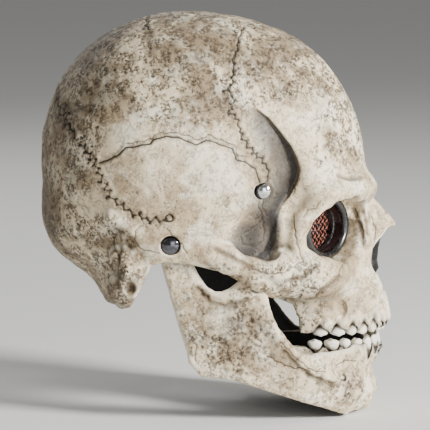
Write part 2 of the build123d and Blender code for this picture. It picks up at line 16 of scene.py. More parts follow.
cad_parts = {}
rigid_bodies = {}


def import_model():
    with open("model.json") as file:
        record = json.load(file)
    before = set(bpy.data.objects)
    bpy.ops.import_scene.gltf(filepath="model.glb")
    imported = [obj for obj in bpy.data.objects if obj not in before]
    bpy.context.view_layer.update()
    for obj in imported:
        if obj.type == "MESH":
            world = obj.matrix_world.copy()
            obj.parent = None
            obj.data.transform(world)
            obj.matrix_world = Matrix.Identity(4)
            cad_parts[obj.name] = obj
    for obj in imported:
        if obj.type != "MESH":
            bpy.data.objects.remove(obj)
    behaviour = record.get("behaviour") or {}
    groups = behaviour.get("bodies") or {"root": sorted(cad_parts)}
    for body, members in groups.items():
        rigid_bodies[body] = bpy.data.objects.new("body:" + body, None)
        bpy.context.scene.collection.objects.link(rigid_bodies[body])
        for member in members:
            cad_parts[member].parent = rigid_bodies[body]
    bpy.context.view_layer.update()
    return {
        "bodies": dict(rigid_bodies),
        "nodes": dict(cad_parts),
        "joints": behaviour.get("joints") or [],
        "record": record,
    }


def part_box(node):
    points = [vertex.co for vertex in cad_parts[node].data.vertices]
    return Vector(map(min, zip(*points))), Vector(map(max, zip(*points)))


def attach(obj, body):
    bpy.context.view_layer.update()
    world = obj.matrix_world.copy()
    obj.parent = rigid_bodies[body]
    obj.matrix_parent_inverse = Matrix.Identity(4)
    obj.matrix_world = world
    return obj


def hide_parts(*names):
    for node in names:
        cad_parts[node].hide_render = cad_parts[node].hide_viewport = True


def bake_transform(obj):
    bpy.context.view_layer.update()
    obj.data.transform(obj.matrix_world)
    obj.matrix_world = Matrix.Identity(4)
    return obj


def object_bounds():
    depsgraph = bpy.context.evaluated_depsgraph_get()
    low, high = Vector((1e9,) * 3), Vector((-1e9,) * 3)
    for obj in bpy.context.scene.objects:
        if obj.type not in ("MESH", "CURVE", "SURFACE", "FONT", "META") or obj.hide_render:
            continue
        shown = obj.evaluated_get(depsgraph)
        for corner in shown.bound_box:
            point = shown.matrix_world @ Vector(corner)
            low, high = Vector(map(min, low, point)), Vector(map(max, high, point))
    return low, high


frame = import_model()

MM = 0.001
F4 = np.float32
FAR = 60.0


# ================================================================ sculpting in signed distances
def smooth_min(a, b, k):
    """The smaller of two distances, with the crease between them filled to a radius of about k."""
    if k <= 0:
        return np.minimum(a, b)
    h = np.clip(0.5 + 0.5 * (b - a) / k, 0, 1)
    return b + (a - b) * h - k * h * (1 - h)


def between_corners(cell, share, value_at):
    """What lies share of the way across each cell, from the values at its eight corners."""
    total = np.zeros(len(cell))
    for corner in np.ndindex(2, 2, 2):
        near = np.where(corner, share, 1 - share)
        total += near[:, 0] * near[:, 1] * near[:, 2] * value_at(cell + corner)
    return total


class Clay:
    """Signed distances on a grid: negative inside. add and cut work only near the shape that they get."""

    MARGIN = 6

    def __init__(self, low, high, step):
        self.step = step
        self.axes = [np.arange(a, b + step, step, dtype=F4) for a, b in zip(low, high)]
        self.low = np.array([axis[0] for axis in self.axes], F4)
        self.d = np.full([len(axis) for axis in self.axes], FAR, F4)

    def copy(self):
        twin = object.__new__(Clay)
        twin.step, twin.axes, twin.low, twin.d = self.step, self.axes, self.low, self.d.copy()
        return twin

    def window(self, shape, reach):
        spans = tuple(
            slice(*np.searchsorted(axis, (a - reach, b + reach)))
            for axis, a, b in zip(self.axes, shape.low, shape.high)
        )
        x, y, z = (axis[span] for axis, span in zip(self.axes, spans))
        return spans, x[:, None, None], y[None, :, None], z[None, None, :]

    def add(self, shape, k=0.0):
        spans, x, y, z = self.window(shape, k + self.MARGIN)
        self.d[spans] = smooth_min(self.d[spans], shape(x, y, z), k)

    def cut(self, shape, k=0.0):
        spans, x, y, z = self.window(shape, k + self.MARGIN)
        self.d[spans] = -smooth_min(-self.d[spans], shape(x, y, z), k)

    def keep(self, shape, k=0.0):
        """Keeps only what is inside the shape, which is measured everywhere."""
        x, y, z = self.axes
        self.d = -smooth_min(-self.d, -shape(x[:, None, None], y[None, :, None], z[None, None, :]), k)

    def sample(self, points):
        """The distance at each point, between the grid's values. X may have either sign."""
        places = points.copy()
        places[:, 0] = np.abs(places[:, 0])
        places = (places - self.low) / self.step
        places = np.clip(places, 0, np.array(self.d.shape) - 1.001)
        cell = places.astype(np.int32)
        return between_corners(cell, places - cell, lambda corner: self.d[tuple(corner.T)])

    def slope(self, points):
        """The direction in which the distance grows, as unit vectors."""
        h = self.step * 0.75
        columns = []
        for axis in range(3):
            ahead, behind = points.copy(), points.copy()
            ahead[:, axis] += h
            behind[:, axis] -= h
            columns.append(self.sample(ahead) - self.sample(behind))
        normals = np.stack(columns, 1)
        return normals / np.maximum(np.linalg.norm(normals, axis=1, keepdims=True), 1e-9)


def shape(low, high, measure):
    """A measure of distance together with the box that it fits in."""
    measure.low, measure.high = low, high
    return measure


def turned(x, y, z, centre, yaw, pitch):
    """Coordinates from a centre, turned by yaw about Z and then by pitch about the new X, in degrees."""
    dx, dy, dz = x - centre[0], y - centre[1], z - centre[2]
    if yaw:
        c, s = math.cos(math.radians(yaw)), math.sin(math.radians(yaw))
        dx, dy = c * dx + s * dy, c * dy - s * dx
    if pitch:
        c, s = math.cos(math.radians(pitch)), math.sin(math.radians(pitch))
        dy, dz = c * dy + s * dz, c * dz - s * dy
    return dx, dy, dz


def ellipse_distance(offsets, semi):
    """About how far a place is outside an ellipse or an ellipsoid, from its offsets from the middle."""
    shares = [offset / half for offset, half in zip(offsets, semi)]
    near = np.sqrt(sum(share * share for share in shares))
    rate = np.sqrt(sum((share / half) ** 2 for share, half in zip(shares, semi)))
    return near * (near - 1) / np.maximum(rate, 1e-6)


def ball(centre, semi, yaw=0.0, pitch=0.0):
    """An ellipsoid."""
    reach = max(semi)

    def measure(x, y, z):
        return ellipse_distance(turned(x, y, z, centre, yaw, pitch), semi)

    return shape([c - reach for c in centre], [c + reach for c in centre], measure)


def rod(points, radii, blend=2.0, flat=1.0):
    """A chain of round cones through the points. flat above 1 thins it across X by that ratio."""
    points = np.array(points, float)
    radii = np.broadcast_to(radii, len(points)).astype(float)
    reach = radii.max()

    def measure(x, y, z):
        total = None
        for a, b, ra, rb in zip(points[:-1], points[1:], radii[:-1], radii[1:]):
            run = b - a
            run[0] *= flat
            length = max(float(run @ run), 1e-9)
            dx, dy, dz = (x - a[0]) * flat, y - a[1], z - a[2]
            t = np.clip((dx * run[0] + dy * run[1] + dz * run[2]) / length, 0, 1)
            far = np.sqrt((dx - t * run[0]) ** 2 + (dy - t * run[1]) ** 2 + (dz - t * run[2]) ** 2)
            d = (far - (ra + (rb - ra) * t)) / math.sqrt(flat)
            total = d if total is None else smooth_min(total, d, blend)
        return total

    return shape(points.min(0) - reach, points.max(0) + reach, measure)


def stack(sections, inset=0.0):
    """Level ellipses between heights: height, centre in Y, half width, half depth."""
    heights, centres, widths, depths = (np.array(column, float) for column in zip(*sorted(sections)))

    def measure(x, y, z):
        c, w, h = (np.interp(z, heights, column).astype(F4) for column in (centres, widths, depths))
        side = ellipse_distance((x, y - c), (w - inset, h - inset))
        cap = np.maximum(heights[0] - z, z - heights[-1]).astype(F4)
        return np.maximum(side, cap)

    low = [0, (centres - depths).min(), heights[0]]
    return shape(low, [widths.max(), (centres + depths).max(), heights[-1]], measure)


def column(centre, semi, front, back, yaw=0.0, ragged=0.0):
    """An elliptical column along -Y turned by yaw, from front to back, with a worn edge if ragged."""
    reach = max(*semi, back, -front)

    def measure(x, y, z):
        dx, dy, dz = turned(x, y, z, centre, yaw, 0.0)
        side = ellipse_distance((dx, dz), semi)
        if ragged:
            turn = np.arctan2(dz / semi[1], dx / semi[0])
            wear = np.sin(5 * turn + 1) + 0.7 * np.sin(9 * turn) + 0.5 * np.sin(16 * turn)
            side = side + ragged * semi[0] * wear
        return np.maximum(side, np.maximum(front - dy, dy - back))

    return shape([c - reach for c in centre], [c + reach for c in centre], measure)


def disc(centre, radius, start, end):
    """A round plate across X, from one X to another."""

    def measure(x, y, z):
        side = np.sqrt((y - centre[0]) ** 2 + (z - centre[1]) ** 2) - radius
        return np.maximum(side, np.maximum(start - x, x - end))

    low = [start, centre[0] - radius, centre[1] - radius]
    return shape(low, [end, centre[0] + radius, centre[1] + radius], measure)


def outline_distance(u, v, ring):
    """Signed distance to a closed outline on a plane."""
    u, v = u + 0 * v, v + 0 * u
    far = np.full(u.shape, 1e9)
    inside = np.zeros(u.shape, bool)
    for (au, av), (bu, bv) in zip(ring, np.roll(ring, -1, 0)):
        eu, ev = bu - au, bv - av
        t = np.clip(((u - au) * eu + (v - av) * ev) / (eu * eu + ev * ev), 0, 1)
        far = np.minimum(far, (u - au - t * eu) ** 2 + (v - av - t * ev) ** 2)
        crosses = (av > v) != (bv > v)
        inside ^= crosses & (u < (bu - au) * (v - av) / np.where(bv == av, 1, bv - av) + au)
    return np.where(inside, -np.sqrt(far), np.sqrt(far)).astype(F4)


def side_view(points):
    """A closed outline in side view, of (Y, Z) points, right across X."""
    ring = np.array(points, float)
    return shape([0, *ring.min(0)], [100, *ring.max(0)], lambda x, y, z: outline_distance(y, z, ring) + 0 * x)


def front_view(widths, front, back):
    """A hole seen from the front: its half width at each height, between two places in Y."""
    half = np.array(widths, float)
    ring = np.concatenate([half, half[::-1] * (-1, 1)])

    def measure(x, y, z):
        ends = np.maximum(front - y, y - back).astype(F4)
        return np.maximum(outline_distance(x, z, ring), ends)

    return shape([0, front, ring[:, 1].min()], [ring[:, 0].max(), back, ring[:, 1].max()], measure)


# ================================================================ casting a sculpt into a mesh
def surface_of(field, step, low):
    """The surface where the distances are 0: its points in millimetres, and four-sided faces."""
    band = 3 * step
    grid = openvdb.FloatGrid(band)
    grid.copyFromArray(np.ascontiguousarray(np.clip(field, -band, band), dtype=F4))
    points, quads = grid.convertToQuads(0.0)
    return points.astype(float) * step + low, quads[:, ::-1]


def cast(clay, name, side=None):
    """Meshes a sculpt: both halves, or only its left or right. Returns the object and its points in mm."""
    field, low = clay.d, clay.low.astype(float)
    if side is None:
        field = np.concatenate([field[:0:-1], field])
        low[0] -= clay.step * (clay.d.shape[0] - 1)
    points, quads = surface_of(field, clay.step, low)
    for _ in range(2):
        points -= np.clip(clay.sample(points), -clay.step, clay.step)[:, None] * clay.slope(points)
    if side == "right":
        points[:, 0] *= -1
        quads = quads[:, ::-1]
    return mesh_object(name, points, quads), points


def mesh_object(name, points, quads):
    """A smooth-shaded object of four-sided faces, from points in millimetres."""
    mesh = bpy.data.meshes.new(name)
    mesh.vertices.add(len(points))
    mesh.vertices.foreach_set("co", (points * MM).ravel())
    mesh.loops.add(quads.size)
    mesh.loops.foreach_set("vertex_index", np.ascontiguousarray(quads).ravel().astype(np.int32))
    mesh.polygons.add(len(quads))
    mesh.polygons.foreach_set("loop_start", np.arange(0, quads.size, 4, dtype=np.int32))
    mesh.polygons.foreach_set("use_smooth", np.ones(len(quads), bool))
    mesh.update(calc_edges=True)
    mesh.validate()
    piece = bpy.data.objects.new(name, mesh)
    bpy.context.collection.objects.link(piece)
    return piece


def move_points(piece, points):
    """Puts the mesh's points at new places, in millimetres."""
    piece.data.vertices.foreach_set("co", (points * MM).ravel())
    piece.data.update()


def note(piece, name, values):
    """Stores one number at each point of the mesh, for its material."""
    attribute = piece.data.attributes.new(name, "FLOAT", "POINT")
    attribute.data.foreach_set("value", np.asarray(values, F4))


def unit(vectors):
    return vectors / np.linalg.norm(vectors, axis=1, keepdims=True)


def walked_along(path):
    """How far along the path each of its points lies."""
    return np.concatenate([[0], np.cumsum(np.linalg.norm(np.diff(path, axis=0), axis=1))])


def ring_faces(rows, sides, start=0):
    """Four-sided faces between neighbouring rings of points."""
    first = start + (np.arange(rows - 1) * sides)[:, None] + np.arange(sides)
    after = start + (np.arange(rows - 1) * sides)[:, None] + (np.arange(sides) + 1) % sides
    return np.stack([first, after, after + sides, first + sides], -1).reshape(-1, 4)


def bell(value, width):
    """1 where the value is 0, falling off over width to each side."""
    return np.exp(-((value / width) ** 2))


def soft_step(value, low, high):
    """0 below low, 1 above high, and eased between."""
    share = np.clip((value - low) / (high - low), 0, 1)
    return share * share * (3 - 2 * share)


# ================================================================ the skull casting
# Level ellipses are (height, centre in Y, half width, half depth), and side views are (Y, Z).
WALL = 4.2
PARIETAL = ((0, 2, 52), (88, 88, 96))
FRONTAL = ((0, -40, 45), (72, 92, 100))
SKIRT = [(40, 6, 77, 74), (8, 3, 82, 72), (-48, 2, 76, 44)]
FACE = [
    (60, -66, 46, 48), (44, -73, 55, 57), (34, -75, 58, 61.5), (16, -76, 54, 57), (-12, -84, 48, 47),
    (-38, -95, 42, 50), (-70, -95, 38, 54.5),
]
RIM = [
    (130, -41), (60, -43), (44, -47), (27, -42), (20, -30), (13, -14), (4, -11.5), (-12, -13), (-40, -22),
    (-58, -34), (-74, -43), (-82, -46), (-86, -55), (-89, -90), (-170, -90), (-170, 170), (130, 170),
]
NOSE = [
    (24, -122, 15, 13), (18, -122, 14, 16), (13, -122, 13, 21), (9.5, -122, 12.5, 26), (6, -122, 12.2, 29),
    (2.5, -122, 12.5, 28.0), (-4, -122, 14, 25.5), (-9, -122, 15, 22.5), (-14, -122, 16, 19.5),
    (-21, -122, 16.5, 18.0), (-29, -122, 17, 19.5), (-37, -122, 17, 20.5),
]
NOSE_HOLE = [(2.4, 1.5), (5.2, -3), (7.6, -7), (9.8, -13.5), (11.6, -20), (12, -25), (10, -31), (4, -34)]
ORBIT, ORBIT_YAW = (36, -106.6, 6), 36.5
# The jaw's pivot, the temple rivet and the jaw elastic's rivet in side view, and how far out their seats are.
HINGE, TEMPLE, ELASTIC = (0, 0), (-61, 35), (-57, -30)
HINGE_SEAT, TEMPLE_SEAT, ELASTIC_SEAT = 80.0, 69.2, 67.8
UPPER_GUM, LOWER_GUM = -60.5, -78.0
UPPER_EDGE, LOWER_EDGE = -68.6, -70.6


def arch_point(semi, place):
    """A point on a dental arch, place millimetres round from the midline, and its outward direction."""
    centre_y = -95
    angle, walked, step = 0.0, 0.0, 0.002
    while walked < place:
        walked += math.hypot(semi[0] * math.cos(angle), semi[1] * math.sin(angle)) * step
        angle += step
    out = Vector((math.sin(angle) / semi[0], -math.cos(angle) / semi[1], 0)).normalized()
    return Vector((semi[0] * math.sin(angle), centre_y - semi[1] * math.cos(angle), 0)), out


UPPER_ARCH, LOWER_ARCH = (38.5, 54.0), (37.5, 50.5)
TOOTH_WIDTHS = [9.4, 8.0, 8.8, 8.6, 8.6, 11.6, 11.2]
TOOTH_PLACES = [sum(TOOTH_WIDTHS[:i]) + width / 2 for i, width in enumerate(TOOTH_WIDTHS)]
CROWN_HEIGHTS = [11.2, 10.2, 12.0, 10.0, 9.6, 9.4, 8.6]
CROWN_DEPTHS = [6.2, 6.0, 7.4, 7.6, 7.8, 9.4, 9.0]
# The thickness at the biting edge as a share of the greatest, and how far in from the arch a crown stands.
CROWN_BLADES = [0.36, 0.36, 0.45, 0.74, 0.76, 0.88, 0.88]
CROWN_INSET = 4.0
CANINE = 2


def crown_place(arch, number):
    return arch_point((arch[0] - CROWN_INSET, arch[1] - CROWN_INSET), TOOTH_PLACES[number])


def crown_distance(number, x, y, z, swell=0.0):
    """One crown at the origin: its neck at Z 0, its biting edge at -Z, its face towards -Y."""
    height, width, depth = CROWN_HEIGHTS[number], TOOTH_WIDTHS[number] - 0.9, CROWN_DEPTHS[number]
    share = np.clip(-z / height, -0.3, 1)
    flare = np.interp(share, (-0.3, 0, 0.25, 0.6, 0.85, 1), (0.02, 0.3, 0.64, 0.95, 1, 0.92))
    wide = width / 2 * flare + swell
    deep = depth / 2 * np.interp(share, (-0.3, 0, 0.35, 1), (0.3, 0.8, 1.0, CROWN_BLADES[number])) + swell
    bow = -(1 - deep / (depth / 2 + swell)) * depth * 0.16
    r = ((np.abs(x) / wide) ** 2.5 + (np.abs(y - bow) / deep) ** 2.5) ** 0.4
    side = (r - 1) * np.minimum(wide, deep)
    if number == CANINE:
        tip = np.abs(x + 0.3) * 0.6 + 0 * y
    elif number > CANINE:
        cusps = 1 if number < 5 else 1.5
        tip = 1.1 * np.abs(np.sin(x / width * math.pi * cusps)) + 0.7 * bell(y, 1.6)
    else:
        tip = 0.04 * x * x + 0 * y
    distance = -smooth_min(-side.astype(F4), -(tip - height - swell - z).astype(F4), 1.5)
    return -smooth_min(-distance, -(z - 3.0 - swell).astype(F4), 0.8)


def crown(number, arch, edge, upward, swell):
    """The crown in its place on an arch, as a shape to cut its socket with."""
    spot, out = crown_place(arch, number)
    yaw, height = math.degrees(math.atan2(out.x, -out.y)), CROWN_HEIGHTS[number]
    neck = edge - height if upward else edge + height

    def measure(x, y, z):
        dx, dy, dz = turned(x, y, z, (spot.x, spot.y, neck), yaw, 0.0)
        return crown_distance(number, dx, dy, -dz if upward else dz, swell)

    middle, reach = np.array([spot.x, spot.y, edge]), np.array([10, 10, 14])
    return shape(middle - reach, middle + reach, measure)


def add_roots(clay, arch, gum, rise, lengths, start, lean, thick, tip, blend):
    """Ridges over the roots of the teeth, which rise from the gum (or go down, for a rise of -1)."""
    for place, width, length in zip(TOOTH_PLACES, TOOTH_WIDTHS, lengths):
        spot, out = arch_point(arch, place)
        neck = spot + Vector((0, 0, gum + rise * start))
        end = spot - out * lean + Vector((0, 0, gum + rise * length))
        clay.add(rod([neck, end], [width * thick, tip]), blend)


def line_distance(y, z, route):
    """Distance to a line drawn in side view, which side of it, and how far along it, from 0 to 1."""
    route = np.array(route, float)
    lengths = np.linalg.norm(np.diff(route, axis=0), axis=1)
    best, side, along, walked = np.full((y + z).shape, 1e9), 0 * (y + z), 0 * (y + z), 0.0
    for (ay, az), (by, bz), length in zip(route[:-1], route[1:], lengths):
        ey, ez = (by - ay) / length, (bz - az) / length
        t = np.clip((y - ay) * ey + (z - az) * ez, 0, length)
        far = np.hypot(y - ay - t * ey, z - az - t * ez)
        closer = far < best
        best = np.where(closer, far, best)
        side = np.where(closer, np.sign((y - ay) * ez - (z - az) * ey), side)
        along = np.where(closer, (walked + t) / lengths.sum(), along)
        walked += length
    return best, side, along


TEMPORAL_LINE = [
    (-50, 94), (-57.5, 90), (-65, 84), (-74, 73.5), (-80, 65), (-84.5, 56), (-87, 48), (-86, 41),
    (-81, 31), (-74, 22), (-71, 14),
]
FOSSA_PIT = [(-68, 19), (-69, 10), (-68, 0), (-64, -9), (-56, -13.5), (-46, -11.5), (-38, -6)]
PLATE_EDGE = [
    (47, 54), (35, 59.5), (30, 65), (13, 68), (11.5, 71), (2, 73), (-6, 72), (-17, 67.5), (-24, 70.5),
    (-33, 67), (-41, 64), (-43, 57), (-49, 55.5), (-56, 50.5), (-59, 41),
]


def temple_hollow(clay):
    """How far the hollow behind the temporal line is sunk, at each place in side view, and how much painted
    shade it gets.
    """
    y, z = clay.axes[1][:, None], clay.axes[2][None, :]
    far, side, along = line_distance(y, z, TEMPORAL_LINE)
    signed = -far * side
    deep = np.interp(along, (0, 0.12, 0.4, 0.75, 1), (0.2, 2.4, 4.6, 4.2, 1.0))
    edge = np.clip(signed / 2.2, 0, 1)
    behind = np.maximum(signed, 0)
    depth = deep * edge * edge * (3 - 2 * edge) * bell(behind, 17)
    dark = np.interp(along, (0, 0.15, 0.5, 1), (0.25, 0.75, 1, 1)) * edge
    shade = dark * bell(behind, np.interp(along, (0, 0.5, 1), (15, 22, 20)))
    # Painted shade on the floor of the temple. It is deepest in the crease of the pit, which also holds dark
    # paint.
    floor = 0.92 * np.exp(-(((y + 54) / 15) ** 2 + ((z - 1) / 14) ** 4))
    crease = 1.1 * bell(line_distance(y, z, FOSSA_PIT)[0], 5.2)
    return depth.astype(F4), np.maximum.reduce([shade, floor, crease])


def plate_shelf(clay):
    """The step down over the upper edge of the temporal plate, at each place in side view."""
    y, z = clay.axes[1][:, None], clay.axes[2][None, :]
    far, side, along = line_distance(y, z, PLATE_EDGE)
    above = np.clip(side * far, 0, None)
    ends = np.clip(along * 14, 0, 1) * np.clip((1 - along) * 10, 0, 1)
    lip = np.clip(above / 1.2, 0, 1) * np.exp(-above / 7)
    return (1.5 * ends * lip).astype(F4)


def sculpt_skull(step):
    """The skull in clay, the same before the orbit and the inside are cut, and the painted shade of its
    temple.
    """
    clay = Clay((0, -162, -72), (96, 98, 154), step)
    # Braincase and face.
    clay.add(ball(*PARIETAL))
    clay.add(ball(*FRONTAL), 26)
    clay.add(stack(SKIRT), 12)
    clay.add(stack(FACE), 10)
    clay.add(ball((0, 60, 8), (46, 26, 26)), 22)
    # The narrowing behind the brow, and the hollow of the temple.
    clay.cut(ball((80, -82, 30), (25, 15, 34)), 12)
    clay.cut(ball((75, -60, 4), (15, 17, 19)), 7)
    # Brow, rim of the orbit, and cheekbone.
    brow = [(0, -131, 28), (14, -131, 31), (30, -126, 34), (45, -113, 32), (54, -99, 24)]
    clay.add(rod(brow, [7.4, 8.4, 7.8, 7, 6.5]), 8)
    clay.add(rod([(53, -100, 25), (55.5, -88, 14), (54.5, -84, 0), (52, -85, -14)], [6.5, 6, 6.2, 8]), 5)
    under_orbit = [(52, -90, -17), (42, -106, -21), (27, -121, -17), (16, -129, -5), (12, -130, 12)]
    clay.add(rod(under_orbit, [8, 7, 6, 5, 5]), 6)
    clay.add(ball((49, -92, -25), (16, 17, 15.5)), 8)
    clay.add(ball((37, -108, -27), (16, 14, 12)), 10)
    arch = [(52, -86, -25), (61, -70, -22.5), (69.5, -55, -19.5), (74, -40, -10.8)]
    arch += [(76.2, -25, -5), (76.8, -12, -1.5), (75.5, 4, 0.5), (72, 18, 4)]
    clay.add(rod(arch, [15, 14.5, 11.3, 9.6, 7.8, 8.2, 9.5, 8], blend=3, flat=1.9), 4)
    # The pit between the braincase and the cheekbone, and the groove above the arch.
    clay.cut(rod([(67.5, -66.4, 17), (65.5, -66.4, 5), (61, -65.6, -8)], [3.6, 5.6, 6.2]), 3)
    clay.cut(rod([(72, -64, 0), (75, -52, 0), (80, -38, 5)], [9.5, 7.0, 2.0]), 7)
    # Nose: a bony pyramid, its sharp tip, the aperture cut in it, and the spine.
    clay.add(stack(NOSE), 3.5)
    clay.add(rod([(0, -137, 17.5), (0, -146.5, 8.5), (0, -151.6, 4.6)], [4.2, 3.6, 2.6], flat=0.8), 2.5)
    clay.add(rod([(15, -128, 14), (17, -131, -8), (19, -131, -24), (16, -137, -37)], [5, 5.5, 6, 7]), 6)
    clay.add(rod([(0, -138, -33), (0, -144.5, -30.5)], [4.0, 1.8]), 3)
    clay.cut(front_view(NOSE_HOLE, -170, -125), 2.0)
    # Canine hollow, the ridges over the roots of the teeth, and the hollow above the premolars.
    clay.cut(ball((29, -138, -25), (11, 9, 10), yaw=25), 7)
    root_arch = [semi - 1.9 for semi in UPPER_ARCH]
    add_roots(clay, root_arch, UPPER_GUM, 1, (15, 13, 22, 14, 12, 10, 9), 1, 1.2, 0.46, 2.6, 1.4)
    clay.cut(ball((41, -114.5, -50), (8, 3.6, 7), yaw=25), 2)
    # Ear region: the mastoid, the crest above it, the ear hole, and the mastoid's lumps and dents.
    clay.add(ball((73, 30, -24), (10.5, 14, 21), pitch=-8), 7)
    clay.add(rod([(74, 12, 6), (78, 26, 10), (77.5, 40, 18)], [5.5, 4, 2.5]), 7)
    clay.cut(ball((84.5, 21, -7), (6.5, 3.8, 5.4), pitch=15), 3.5)
    clay.add(ball((80, 28.5, -17), (5, 4.5, 6.5)), 3)
    clay.cut(ball((86, 33.5, -13), (5, 2.6, 6)), 3)
    clay.cut(ball((83.5, 26, -29), (5, 3.4, 4.4)), 3)
    clay.cut(ball((84, 44, -16), (9, 6, 18)), 6)
    clay.cut(ball((80, 27, 1), (4, 3, 5)), 4)
    # The hollow of the temple, sharp along its front edge, and the shelf over the temporal plate.
    hollow, shade = temple_hollow(clay)
    clay.d[clay.axes[0] > 30] += hollow + plate_shelf(clay)
    clay.cut(ball((22, -123.5, 18), (7, 8.5, 8.5), yaw=30), 4)
    base = clay.copy()
    base.cut(column(ORBIT, (26.0, 22.6), -40, 17, ORBIT_YAW), 2)
    # The orbit, with its worn rim, and the way through it.
    clay.cut(column(ORBIT, (25.2, 21.8), -40, 14.6, ORBIT_YAW, ragged=0.035), 2.0)
    clay.cut(column(ORBIT, (22.0, 18.6), 10, 60, ORBIT_YAW), 0.5)
    # Hollow, with thicker latex behind the rivets, and cut off at its rim and below its gum.
    clay.d = -smooth_min(-clay.d, base.d + WALL, 1.0)
    clay.add(disc(HINGE, 11, 73.4, 80), 0.6)
    clay.add(disc(TEMPLE, 8, 62.8, 69), 0.6)
    clay.keep(side_view(RIM), 1.6)
    y, z = clay.axes[1][None, :, None], clay.axes[2][None, None, :]
    below_gum = np.where(y < -80, UPPER_EDGE + 2.6 - z, -FAR)
    clay.d = -smooth_min(-clay.d, -below_gum, 1.2)
    # Each tooth has its own socket, and the gum hangs in points between them.
    for number in range(len(TOOTH_WIDTHS)):
        clay.cut(crown(number, UPPER_ARCH, UPPER_EDGE, False, swell=0.75), 0.5)
    # Seats of the rivets.
    clay.cut(disc(HINGE, 6.6, HINGE_SEAT, 95), 0.8)
    clay.cut(disc(TEMPLE, 5.9, TEMPLE_SEAT, 95), 0.8)
    return clay, base, shade


# ================================================================ the jaw casting
JAW_WALL = 3.9
JAW_BORDER = [(-12, -81), (-20, -90.5), (-42, -93.5), (-75, -105), (-100, -114.5), (-119, -122.5)]
JAW_PLAN = [(4, 72, 122), (-10, 72, 122), (-60, 69, 122), (-94, 65, 120.5), (-108, 63, 125), (-126, 58, 117)]
JAW_VIEW = [
    (9, 3), (6.5, -16), (-4, -55), *JAW_BORDER, (-134, -121), (-144, -109), (-152, -90), (-152, -74),
    (-96, -77), (-86, -79), (-77.5, -71), (-70.5, -60), (-66.5, -44), (-63, -24), (-56, -18.5),
    (-49, -21.5), (-43, -26.5), (-38.5, -30), (-33.5, -32.4), (-29, -32), (-24, -28.5), (-19, -21),
    (-15, -13), (-11, 3), (0, 10),
]
RIDGE_VIEW = [(-71, -66.5), (-87, -67.5), (-91, -73.2), (-170, -73.2), (-170, -101), (-90, -101), (-74, -88)]
LOWER_RIDGE = [(-76, -95, 37.5, 49.5), (-84, -95, 38.5, 47), (-93, -95, 41.5, 41.5), (-104, -95, 44, 42)]


def horseshoe(x, y, z):
    """The jaw's outer wall in plan, at each height."""
    heights, widths, depths = (np.array(column, float) for column in zip(*sorted(JAW_PLAN)))
    w = np.interp(z, heights, widths).astype(F4)
    h = np.interp(z, heights, depths).astype(F4)
    u = np.maximum(np.abs(x), 0.01) / w
    v = np.maximum(-15 - y, 0) / h
    r = (u**2.5 + v**2.5) ** 0.4
    rate = np.sqrt((u**1.5 / w) ** 2 + (v**1.5 / h) ** 2) / r**1.5
    return (r - 1) / np.maximum(rate, 1e-4)


def sculpt_jaw(step):
    """The jaw in clay: a bent wall cut out in side view, its flange, its tooth ridge and its bearing."""
    clay = Clay((0, -158, -130), (84, 26, 16), step)
    clay.add(shape(clay.low, [axis[-1] for axis in clay.axes], horseshoe))
    clay.keep(side_view(JAW_VIEW), 5)
    wall = horseshoe(*np.ix_(*clay.axes))
    clay.d = -smooth_min(-clay.d, wall + JAW_WALL, 1.5)
    # The flange that turns inward along the lower border.
    flange = clay.copy()
    flange.d = np.maximum(wall, -wall - 17).astype(F4)
    flange.keep(side_view(JAW_BORDER + [(y, z + 4.5) for y, z in JAW_BORDER[::-1]]), 1.5)
    clay.d = smooth_min(clay.d, flange.d, 2)
    # The tooth ridge, inside the body and proud of it in front.
    teeth_ridge = clay.copy()
    teeth_ridge.d[:] = FAR
    teeth_ridge.add(stack(LOWER_RIDGE))
    teeth_ridge.cut(stack(LOWER_RIDGE, 9.5), 3)
    teeth_ridge.keep(side_view(RIDGE_VIEW), 3)
    clay.d = smooth_min(clay.d, teeth_ridge.d, 5)
    # Chin, oblique line, the dish in the ramus, the hollow over the lower border, and two small holes.
    clay.add(ball((0, -132, -108), (15, 8.5, 9)), 8)
    clay.add(ball((15, -129, -113), (9, 8, 7)), 7)
    oblique = [(65.5, -60, -50), (63.5, -72, -66), (57, -86, -82), (50, -102, -93), (42, -115, -101)]
    clay.add(rod(oblique, [3, 4.2, 4.4, 4, 2.5]), 6)
    clay.cut(ball((81, -34, -56), (8.0, 22, 25)), 9)
    clay.cut(ball((57, -112, -106), (6.5, 16, 5), yaw=-38, pitch=-16), 6)
    clay.cut(ball((42.5, -117, -96), (3.4, 2.4, 2.0)), 1.0)
    clay.cut(ball((19, -137.5, -99), (3.0, 2.4, 2.2)), 1.0)
    root_arch = [semi - 3.2 for semi in LOWER_ARCH]
    add_roots(clay, root_arch, LOWER_GUM, -1, (12, 12, 17, 12, 11, 10, 9), 2, 3.5, 0.4, 2, 2.0)
    for number in range(len(TOOTH_WIDTHS)):
        clay.cut(crown(number, LOWER_ARCH, LOWER_EDGE, True, swell=0.7), 0.5)
    # The bearing: flat inside and out round the pivot. Then the seat of the elastic's rivet.
    clay.add(disc(HINGE, 8.6, 68.4, 72), 1)
    clay.cut(disc(HINGE, 12, 72, 80), 0.5)
    clay.cut(disc(HINGE, 11, 60, 68.2), 0.5)
    clay.cut(disc(HINGE, 3, 60, 80), 0)
    clay.add(disc(ELASTIC, 5, 62.6, ELASTIC_SEAT), 0.5)
    clay.cut(disc(ELASTIC, 4.3, ELASTIC_SEAT, 74), 0.3)
    return clay


